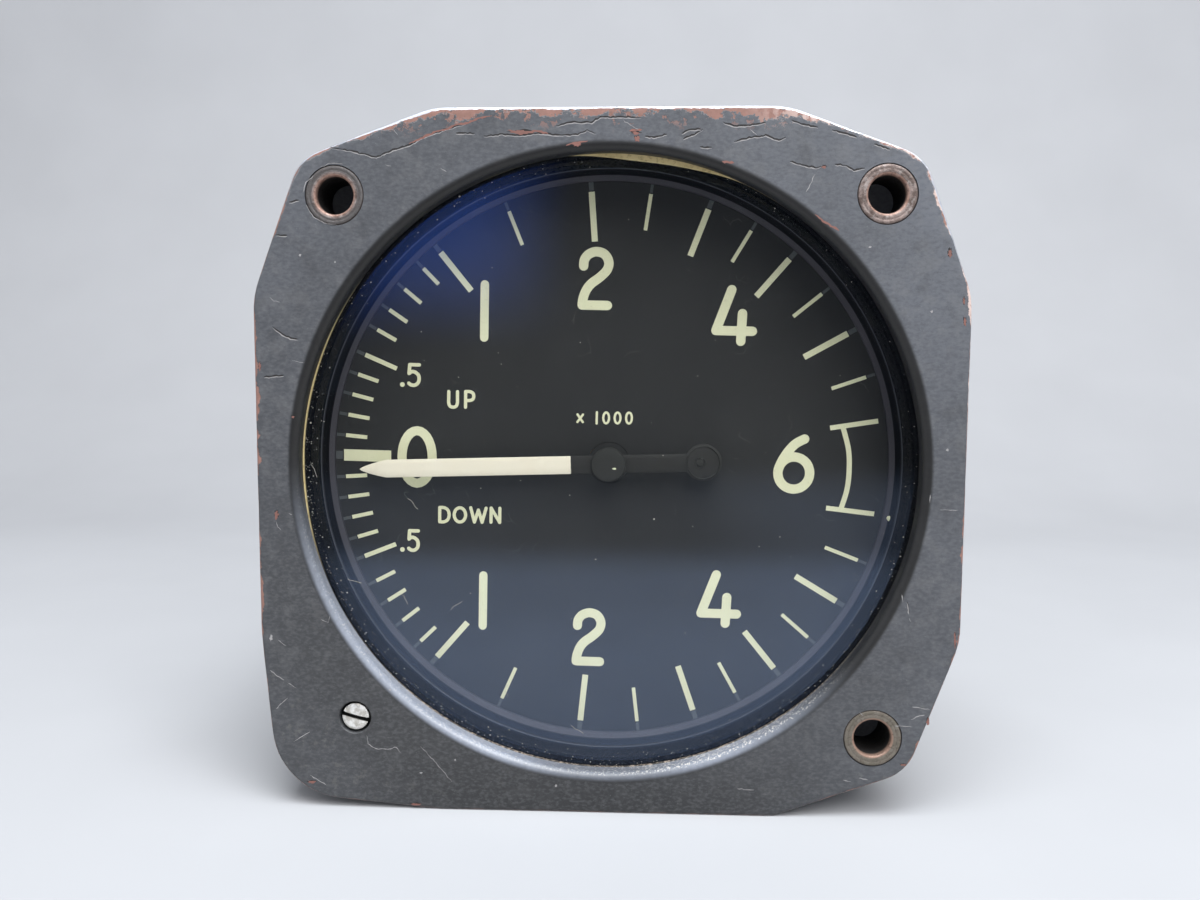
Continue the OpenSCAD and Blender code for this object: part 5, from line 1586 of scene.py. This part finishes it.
# %% Places of the ticks and numerals
zero_at = 180 + dial_turn
tick_places = {0.1: 4.5, 0.2: 9, 0.3: 13.5, 0.4: 18, 0.5: 22.5, 0.6: 28.5, 0.7: 33.5, 0.8: 39, 0.9: 45,
               1: 50, 1.5: 67, 2: 85, 2.5: 97.5, 3: 110, 3.5: 120, 4: 130, 4.5: 140, 5: 150, 5.5: 160}
tick_end, faint_start, faint_end = 33.3, 33.45, 34.46
numerals = [("2", (-3.94, 0.40, 18.91, 26.58)), ("1", (-16.07, -14.99, 15.06, 22.43)),
            ("4", (12.52, 18.13, 14.57, 21.98)), ("6", (20.41, 25.49, -3.69, 3.74)),
            ("0", (-26.65, -21.67, -3.38, 4.41)), ("4", (11.13, 16.75, -20.79, -13.45)),
            ("1", (-16.41, -15.43, -21.40, -14.06)), ("2", (-4.59, -0.37, -25.97, -18.53))]
halves = [(-25.29, -23.56, 9.31, 12.30), (-25.55, -23.92, -11.58, -8.65)]
bracket_bar = [(28.87, 4.55), (29.58, 1.9), (29.73, -0.66), (29.52, -3.1), (28.86, -5.45)]
bracket_ends = [[(27.27, 4.53), (33.11, 5.43)], [(27.01, -5.43), (32.94, -6.12)]]
zero_mark = [(-33.45, 0.0), (-27.46, -0.16), (-27.44, 1.30), (-33.43, 1.44)]
print(len(tick_places), "ticks each way, the last one at", max(tick_places))

# %% [markdown]
# A rule for the ticks is easier to change than a drawing of them: those of whole rates are long and
# thick, those of halves are shorter, and those of tenths are the shortest.

# %% Ticks
def tick_style(rate):
    """Inner radius and width of a tick."""
    if rate < 1:
        return (29.0, 0.55) if rate == 0.5 else (30.6, 0.48)
    return (27.3, 0.74) if rate == int(rate) else (28.9, 0.45)


def ray(angle, inner, outer, width):
    a = math.radians(angle)
    return stroke([(r * math.cos(a), r * math.sin(a)) for r in (inner, outer)], width, ends=False)


print("a whole tick starts at", tick_style(1)[0], "mm, a fine one at", tick_style(0.1)[0], "mm")

# %% [markdown]
# ### All marks together
# The cream marks are one film. Where the ticks run on under the slope of the ring they are only seen
# faintly, so those ends are a second film in a dark tone.

# %% The dial's marks
def dial_marks():
    faces, faint = [], []
    for rate, turn in tick_places.items():
        inner, width = tick_style(rate)
        for way in (-1, 1):
            angle = zero_at + way * turn
            faces += ray(angle, inner, tick_end, width)
            faint += ray(angle, faint_start, faint_end, width * 0.8)
    for end in bracket_ends:
        faces += stroke(end, 0.6, ends=False)
    faces += stroke(smooth(bracket_bar, 6), 0.62, ends=False)
    faces += [zero_mark]
    faint += stroke([(-33.6, 0.7), (-faint_end, 0.72)], 1.0, ends=False)
    for sign, box in numerals:
        faces += written(sign, box, 1.05 if sign == "1" else 1.15)
    for box in halves:
        faces += written("5", box, 0.44)
        faces += [circle(0.3, 12, (box[0] - 0.62, box[2] + 0.3))]
    sizes = {"any": 1.55, "U": 1.5, "P": 1.42, "D": 1.6, "O": 1.85, "W": 2.35, "N": 1.5}
    faces += row("UP", -20.29, 6.61, 8.96, 0.4, sizes, 0.62)
    faces += row("DOWN", -21.56, -7.88, -5.67, 0.4, sizes, 0.24)
    faces += row("x 1000", -4.1, 4.78, 6.41, 0.28, {"any": 1.0, "x": 0.95, "1": 0.5, " ": 0.5}, 0.42)
    shape = Shape()
    film(shape, faces, dial_front - 0.045, dial_front + 0.02)
    marks = piece("dial_marks", shape, "pointer_cream", mark_cream, sharp=40)
    shape = Shape()
    film(shape, faint, dial_front - 0.02, dial_front + 0.02)
    return marks, piece("faint_marks", shape, "dial_black", faint_paint, sharp=40)


faint_paint = cream("faint_paint", (92, 96, 96), (66, 70, 74))
print("dial marks:", [len(marks.data.polygons) for marks in dial_marks()], "faces")

# %% [markdown]
# ## The pointer
# A thin stamped plate: a straight blade with a rounded point, and a round counterweight at its tail. It
# rests a little below the left, as the photo shows. Its outline is easier to work out with the tip along
# +X, so it is turned afterwards.

# %% Outline of the pointer
pointer_low, pointer_high = span("pointer")
pointer_front, pointer_back = pointer_low[1], pointer_high[1]
weight_at, weight_r = 11.6, 2.27


def pointer_outline():
    """The outline with the tip along +X, anticlockwise."""
    half, length, ogive = 1.1, 30.9, 3.3
    top = [(length - ogive * (1 - i / 12), half * (1 - i / 12) ** 0.68) for i in range(12)] + [(length, 0.0)]
    reach = math.sqrt(weight_r ** 2 - 1.08 ** 2)
    round_end = math.degrees(math.atan2(1.08, reach))
    tail = arc(weight_r, round_end, 360 - round_end, 26, (-weight_at, 0))
    upper = [(x, half) for x in (-8, -5, -2, 1, 4, 4.7, 8, 13, 18, 23)]
    loop = tail + [(x, -half) for x, _ in upper] + [(x, -z) for x, z in top[:-1]] + top[::-1]
    return loop + upper[::-1]


print("pointer outline:", len(pointer_outline()), "points")

# %% [markdown]
# A flat outline pushed out to a plate has knife edges that never catch light. The real plate's edges are
# softened, so the side is made of rings that step in towards both faces. The counterweight's rim and its
# rivet are turned parts on top.

# %% Blade and counterweight
def pointer_blade():
    c, s = math.cos(pointer_turn), math.sin(pointer_turn)
    loop = pointer_outline()
    soft = 0.07
    inner = inset(loop, soft)
    shape = Shape()
    rings = []
    for ring, y in ((inner, pointer_front), (inset(loop, soft * 0.3), pointer_front + soft * 0.3),
                    (loop, pointer_front + soft), (loop, pointer_back - soft), (inner, pointer_back)):
        rings.append([(x * c - z * s, y, x * s + z * c) for x, z in ring])
    shape.walls(rings)
    for y in (pointer_front, pointer_back):
        flat, faces = filled(inner, (), scattered(inner, [], 0.8, 0.3))
        shape.add([(x * c - z * s, y, x * s + z * c) for x, z in flat], faces)
    cx, cz = -weight_at * c, -weight_at * s
    rivet = ((0.39 - weight_at) * c, (0.39 - weight_at) * s)
    blade = piece("pointer_blade", shape, "pointer_cream", body="pointer_staff_body", sharp=40,
                  replaces=["pointer"])
    shape = Shape()
    shape.turned([(2.16, pointer_front + 0.02), (2.12, pointer_front - 0.05), (1.98, pointer_front - 0.1),
                  (1.9, pointer_front + 0.01)], (cx, cz), 56, loop=False)
    shape.turned([(0.74, pointer_front + 0.01), (0.70, pointer_front - 0.1), (0.58, pointer_front - 0.1),
                  (0.54, pointer_front + 0.01)], rivet, 40, loop=False)
    shape.turned([(0.44, pointer_front + 0.01), (0.40, pointer_front - 0.14), (0.2, pointer_front - 0.18)],
                 rivet, 32, loop=False, caps=(False, True))
    weight = piece("counterweight_face", shape, "hub_black", body="pointer_staff_body")
    return blade, weight


pointer_parts = list(pointer_blade())
print("pointer from", round(pointer_front, 2), "to", round(pointer_back, 2), "mm")

# %% [markdown]
# ### Hub, washer and painted glint
# A black disc covers the pointer's boss and has one bright spot on it, a painted highlight. A dark washer
# closes the dial's hole behind it. The disc turns with the pointer, and the washer stays with the dial.

# %% Hub and washer
def pointer_hub():
    low, high = span("pointer_hub")
    shape = Shape()
    shape.turned([(1.0, high[1]), (1.0, pointer_front - 0.02), (2.02, pointer_front - 0.02),
                  (2.1, pointer_front - 0.12), (2.1, low[1] + 0.16), (2.04, low[1] + 0.05),
                  (1.92, low[1] + 0.01), (1.2, low[1]), (0.4, low[1])], steps=72, loop=False,
                 caps=(True, True))
    return piece("hub_disc", shape, "hub_black", body="pointer_staff_body", sharp=40,
                 replaces=["pointer_hub"])


def dial_washer():
    shape = Shape()
    shape.turned([(1.15, dial_front + 0.1), (1.2, dial_front + 0.04), (2.5, dial_front + 0.04),
                  (2.58, dial_front + 0.1), (2.58, dial_front + 0.6), (1.15, dial_front + 0.6)], steps=56)
    return piece("dial_washer", shape, "dial_black")


glint_spot_on_hub = (614, 468.8)


# painted highlight: a small cream spot on the hub
def painted_hub_glint():
    low, _ = span("pointer_hub")
    x, z = seen(glint_spot_on_hub, low[1])
    shape = Shape()
    ring = [(x + 0.26 * math.cos(a), low[1] - 0.004, z + (0.11 + 0.05 * math.cos(a)) * math.sin(a))
            for a in turns(12)]
    shape.walls([ring, [(p[0], low[1] + 0.03, p[2]) for p in ring]], caps=(True, True))
    return piece("painted_hub_glint", shape, "pointer_cream", mark_cream, body="pointer_staff_body")


pointer_parts += [pointer_hub(), dial_washer(), painted_hub_glint()]
print("pointer:", ", ".join(part.name for part in pointer_parts))

# %% [markdown]
# ## The capsule's diaphragm
# The capsule is a flat metal box, and its front is the one piece that bends: the rim stays with the case,
# and the middle goes with the link. A shape key or an armature could do that. Here the corrugated dish,
# which rises from the rim to the middle, is built once at rest and rides on no body.

# %% A diaphragm that follows its link
def diaphragm():
    low, high = span("capsule_front_diaphragm")
    middle = (0.0, (low[2] + high[2]) / 2)
    rim_r, hub_r, lap, sheet_t = high[0], 4.2, 1.6, 0.2

    def dish(r):
        out = min(1.0, max(0.0, (r - hub_r) / (rim_r - lap - hub_r)))
        wave = 0.16 * math.sin(6 * math.pi * out) * math.sin(math.pi * out)
        return low[1] + (high[1] - low[1] - sheet_t) * out + wave

    steps = 72
    radii = [rim_r * i / steps for i in range(steps + 1)]
    profile = [(r, dish(r)) for r in radii] + [(r, dish(r) + sheet_t) for r in reversed(radii)]
    shape = Shape()
    shape.turned(profile, middle, steps, loop=False)
    obj = piece("capsule_dish", shape, "capsule_bronze", body=None, sharp=40,
                replaces=["capsule_front_diaphragm"])
    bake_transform(obj)
    return obj


print("diaphragm:", len(diaphragm().data.vertices), "points")

# %% [markdown]
# ## The case
# A deep cup that slides into the flange's skirt. Its barrel ends in a rounded rear wall with a boss for
# the static port and three counterbored screws. The barrel is one turned profile, and the rear wall is a
# fill with real holes, so that the port and the screws are seen in them and not drawn on.

# %% Case shell
rear, barrel_r = 88.0, 39.05
boss_place, boss_r, boss_end = (0.0, 18.0), 8.5, 90.5
port_r = 6.22
rear_screws = [(27 * math.cos(math.radians(a)), 27 * math.sin(math.radians(a))) for a in (60, 180, 300)]
shell_start, inner_wall_r, inner_end = 3.3, 35.0, 84.0


def case_shell():
    shape = Shape()
    round_r = 3.0
    profile = [(slide, shell_start), (slide, skirt_end - 0.4), (barrel_r - 0.15, skirt_end - 0.4),
               (barrel_r, skirt_end + 0.05)]
    profile += [(barrel_r, y) for y in (30, 46, 62, 76)]
    profile += rounded((barrel_r - round_r, rear - round_r), round_r, 0, 90, 8)
    walls = [[(x, y, z) for x, z in circle(r, 192)] for r, y in profile]
    shape.walls(walls)
    rim = [(x, z) for x, _, z in walls[-1]]
    holes = [circle(boss_r + 0.6, 72, boss_place)] + [circle(3.2, 48, p) for p in rear_screws]
    flat, faces = filled(rim, holes, scattered(rim, holes, 3.0, 1.0, seed=4))
    shape.add([(x, rear, z) for x, z in flat], faces)
    shape.turned([(boss_r + 0.6, rear), (boss_r + 0.18, rear + 0.16), (boss_r, rear + 0.6),
                  (boss_r, boss_end - 0.5), (boss_r - 0.5, boss_end), (port_r, boss_end), (port_r, 81.0)],
                 boss_place, 72, loop=False)
    for p in rear_screws:
        shape.turned([(3.2, rear), (3.1, rear - 0.1), (3.1, rear - 2.2)], p, 48, loop=False,
                     caps=(False, True))
    shape.turned([(slide, shell_start), (inner_wall_r, shell_start), (inner_wall_r, inner_end)],
                 steps=192, loop=False, caps=(False, True))
    return piece("case_shell", shape, "case_paint", sharp=34, replaces=["case_body"])


case_parts = [case_shell()]
print("case from", shell_start, "to", rear, "mm")

# %% [markdown]
# ### The port's thread
# A stack of rings would pass for a thread from afar, but its turns don't climb. This is a small
# trapezium carried along a helix, which gets shallow at both ends as a tap leaves it.

# %% Port thread
def port_thread():
    _, high = span("static_port_insert")
    shape = Shape()
    root_r, pitch, count, around = 4.34, 0.94, 5, 40
    rings = []
    for i in range(count * around + 1):
        a = 2 * math.pi * i / around
        y = high[1] - 0.9 - pitch * count + pitch * i / around
        ends = min(1.0, i / 12, (count * around - i) / 12)
        rings.append([((root_r - depth * ends) * math.cos(a) + boss_place[0], y + dy,
                       (root_r - depth * ends) * math.sin(a) + boss_place[1])
                      for depth, dy in ((0, -0.42), (0.36, -0.06), (0.36, 0.06), (0, 0.42))])
    shape.walls(rings, caps=(True, True))
    return piece("port_thread", shape, "port_brass", sharp=50)


case_parts.append(port_thread())
print("thread:", len(case_parts[-1].data.polygons), "faces")

# %% [markdown]
# ### Case screws
# Four radial screws hold the case in the flange casting. They are the slotted head from above, turned
# outward by a small function that puts each point in its place, with every slot at another angle.

# %% Case screws
screw_row = 11.6


def side_screws():
    shape = Shape()
    for k in range(4):
        a = math.radians(90 * k)
        out, side = Vector((math.cos(a), 0, math.sin(a))), Vector((-math.sin(a), 0, math.cos(a)))

        def place(p, out=out, side=side):
            return tuple(side * p[0] + Vector((0, screw_row + p[2], 0)) - out * p[1])

        slotted_head(shape, (0, 0), 1.66, 0.16, 0.4, 0.3, 20 + 47 * k, -skirt_r - 0.42, -skirt_r + 0.9,
                     place)
    return piece("side_screws", shape, "screw_steel", sharp=40, replaces=["case_screws"])


case_parts.append(side_screws())
print("case:", ", ".join(part.name for part in case_parts))

# %% [markdown]
# ## Dust, crumbs and lint
# Small flakes lie along the glass's edge, mostly on the left and at the bottom. A particle system could
# strew them, but it needs a weight map to keep to the edge. A loop with a bell curve for the angle and
# for the radius does that in two lines, and its fixed seed puts each flake in the same place every time.

# %% Flakes of dust
flake_count = 460


def flakes():
    rng = random.Random(11)
    shape = Shape()
    for _ in range(flake_count):
        a = math.radians(rng.gauss(225, 66))
        r = 36.25 - abs(rng.gauss(0, 0.8))
        if rng.random() < 0.1:
            r, a = rng.uniform(5, 34), rng.uniform(0, 6.28)
        x, z = r * math.cos(a), r * math.sin(a)
        size = rng.uniform(0.035, 0.08) * (1.5 if rng.random() < 0.1 else 1.0)
        turn, flat = rng.uniform(0, 6.28), rng.uniform(0.4, 1.0)
        ring = []
        for k in range(6):
            t = turn + k * math.pi / 3
            d = size * rng.uniform(0.6, 1.15)
            ring.append((x + d * math.cos(t), glass_front - 0.005, z + d * flat * math.sin(t)))
        top = [(x + (p[0] - x) * 0.5, glass_front - size * 0.5, z + (p[2] - z) * 0.5) for p in ring]
        shape.walls([ring, top], caps=(True, True))
    return piece("dust_flakes", shape, finish=dust_and_slot_dark, sharp=60)


dust_and_slot_dark = plain_paint("dust_and_slot_dark", shade(206, 202, 192), shade(150, 146, 136), 0.8, peel=0.2, dust=0.0)
small_dirt = [flakes()]
print("flakes:", flake_count, "round the glass's edge")

# %% [markdown]
# ### A crumb and lint
# A cream crumb sits behind the glass, near the dial's right edge. It is a ball that noise has dented,
# since a clean ball would look like a bead. The lint is short tubes whose heading drifts at random.

# %% Crumb and lint
crumb_place = (34.75, 1.62, -6.55)
fibre_count = 7


def crumb():
    shape = Shape()
    rings = []
    for i in range(1, 8):
        t = math.pi * i / 8
        ring = []
        for a in turns(14):
            wide = 0.52 * math.sin(t) * math.cos(a) * (1 + 0.25 * noise.noise(Vector((a, t, 2))))
            deep = 0.3 * math.cos(t) * (1 + 0.3 * noise.noise(Vector((a, t, 5))))
            high = 0.42 * math.sin(t) * math.sin(a) * (1 + 0.25 * noise.noise(Vector((t, a, 9))))
            ring.append((crumb_place[0] + wide, crumb_place[1] - deep, crumb_place[2] + high))
        rings.append(ring)
    shape.walls(rings, caps=(True, True))
    return piece("crumb", shape, finish=mark_cream, sharp=60)


def lint():
    rng = random.Random(5)
    shape = Shape()
    fibre_r = 0.02
    for _ in range(fibre_count):
        a, r = math.radians(rng.uniform(150, 330)), rng.uniform(20, 35.6)
        x, z = r * math.cos(a), r * math.sin(a)
        heading, rings = rng.uniform(0, 6.28), []
        for _ in range(14):
            heading += rng.uniform(-0.35, 0.35)
            x, z = x + 0.14 * math.cos(heading), z + 0.14 * math.sin(heading)
            rings.append([(x + fibre_r * math.cos(b) * math.sin(heading),
                           glass_front - fibre_r + 0.015 * math.sin(b),
                           z - fibre_r * math.cos(b) * math.cos(heading)) for b in turns(5)])
        shape.walls(rings, caps=(True, True))
    return piece("lint", shape, finish=dust_and_slot_dark, sharp=80)


small_dirt += [crumb(), lint()]
print("dirt:", ", ".join(part.name for part in small_dirt))

# %% [markdown]
# ## The stage
# One pale sheet is both floor and backdrop. A floor and a wall would meet in a line behind the object, so
# the sheet bends up in a quarter circle. The glass mirrors something else than the camera sees: the
# material asks whether a ray comes from a glossy surface, and shows it a glow, a painted reflection of a
# dim floor with a bluish haze.

# %% Floor and backdrop
def sheet():
    m = Recipe("pale_sheet")
    x, y, _ = m.axes()
    soft = m.noise(60, 3)
    colour = m.blend(soft, shade(180, 181, 184), shade(190, 191, 194))
    shown = m.node("ShaderNodeBsdfDiffuse", Color=colour)
    far = y.ramp(-440, -250) * (0.06 + 0.20 * x.ramp(10, 70) + 0.05 * x.ramp(-20, -80))
    near = y.ramp(-118, -62) * 0.20 + y.ramp(-186, -122) * 0.58 + far
    near = near * (0.82 + 0.36 * m.noise(9, 4, 0.7)) * y.ramp(14, 2)
    # painted reflection: glossy rays see this glow in place of the lit floor
    painted_reflection = m.blend(near, (0.012, 0.013, 0.015), (0.95, 0.97, 1.0))
    glow = m.node("ShaderNodeEmission", Color=painted_reflection, Strength=1.0)
    behind = m.mixed(y.ramp(-8, 30), glow, shown)
    m.done(m.mixed(m.node("ShaderNodeLightPath", output="Is Glossy Ray"), shown, behind))
    floor_z, wall_y, bend, reach = flange_low[2], 420.0, 220.0, 1600.0
    profile = [(-reach, floor_z), (-400.0, floor_z), (wall_y - bend, floor_z)]
    for t in range(5, 91, 5):
        a = math.radians(t)
        profile.append((wall_y - bend + bend * math.sin(a), floor_z + bend * (1 - math.cos(a))))
    profile += [(wall_y, 1500.0)]
    shape = Shape()
    shape.walls([[(x, y, z) for y, z in profile] for x in (-reach, -500.0, 0.0, 500.0, reach)],
                closed=False)
    mesh = bpy.data.meshes.new("sheet")
    mesh.from_pydata([(x / 1000, y / 1000, z / 1000) for x, y, z in shape.points], [], shape.faces)
    mesh.shade_smooth()
    mesh.materials.append(m.material)
    obj = bpy.data.objects.new("sheet", mesh)
    bpy.context.scene.collection.objects.link(obj)
    return obj


print("stage:", sheet().name)

# %% [markdown]
# ## Lights
# The photograph has soft, even light. Lamps alone would give bright spots on every bevel, so the
# surroundings give an even light, and two rectangular lamps add a direction: one overhead and one in
# front. Glossy surfaces see them dim ahead, so the glass stays dark and clear.

# %% Lights
def lamp(name, place, target, size, power, colour=(1, 1, 1)):
    data = bpy.data.lights.new(name, "AREA")
    data.shape = "RECTANGLE"
    data.size, data.size_y = size
    data.energy = power
    data.color = colour
    obj = bpy.data.objects.new(name, data)
    obj.location = place
    obj.rotation_euler = (Vector(target) - Vector(place)).to_track_quat("-Z", "Y").to_euler()
    bpy.context.scene.collection.objects.link(obj)
    return obj


def room():
    """The world: an even soft light, and for glossy surfaces a dim front with a pale ceiling."""
    world = bpy.data.worlds.new("room")
    world.use_nodes = True
    m = Recipe("room", world.node_tree)
    toward, across, up = m.axes(m.place_of("Generated"))
    ahead = 0.04 * up - across
    dim = ahead.ramp(0.86, 0.975)
    glow = m.blend(up.ramp(-0.5, 0.75), (0.16, 0.18, 0.22), (0.9, 0.94, 1.0))
    side = toward.ramp(-0.06, -0.18) * toward.ramp(-0.34, -0.25) * up.ramp(0.01, 0.12)
    glow = m.blend(dim, glow, (0.012, 0.012, 0.013))
    glow = m.blend(side * dim * 0.9, glow, (0.22, 0.38, 0.98))
    even = m.blend(across.ramp(0.1, -0.7), (0.23, 0.245, 0.275), (0.70, 0.71, 0.74))
    light = m.blend(m.node("ShaderNodeLightPath", output="Is Glossy Ray"), even, glow)
    light = m.blend(m.node("ShaderNodeLightPath", output="Is Camera Ray"), light, (0.52, 0.54, 0.58))
    shown = m.node("ShaderNodeBackground", Color=light, Strength=1.0)
    output = world.node_tree.nodes.new("ShaderNodeOutputWorld")
    world.node_tree.links.new(shown.socket, output.inputs["Surface"])
    return world


lamp("overhead", (0.03, -0.15, 0.47), (0, -0.01, 0), (0.36, 0.22), 2.8, (0.93, 0.97, 1.0))
lamp("front", (0.26, -0.56, 0.62), (0, 0, 0), (0.6, 0.5), 5.3)
bpy.context.scene.world = room()

# %% [markdown]
# ## The camera
# It stands where the photograph was taken from. The picture is 1200 spots wide and the distance to it is
# 1000 of them, which is a 30 mm lens on a 36 mm sensor.

# %% Camera
lens = bpy.data.cameras.new("camera")
lens.sensor_width, lens.lens = 36.0, 30.0
lens.clip_start, lens.clip_end = 0.01, 20.0
camera = bpy.data.objects.new("camera", lens)
pose = Matrix((view[0], -view[1], -view[2])).transposed().to_4x4()
pose.translation = camera_place / 1000
camera.matrix_world = pose
bpy.context.scene.collection.objects.link(camera)
bpy.context.scene.camera = camera
bpy.context.scene.view_settings.view_transform = "Standard"
print("camera at", [round(v, 4) for v in camera.location])

# %% [markdown] ## The end
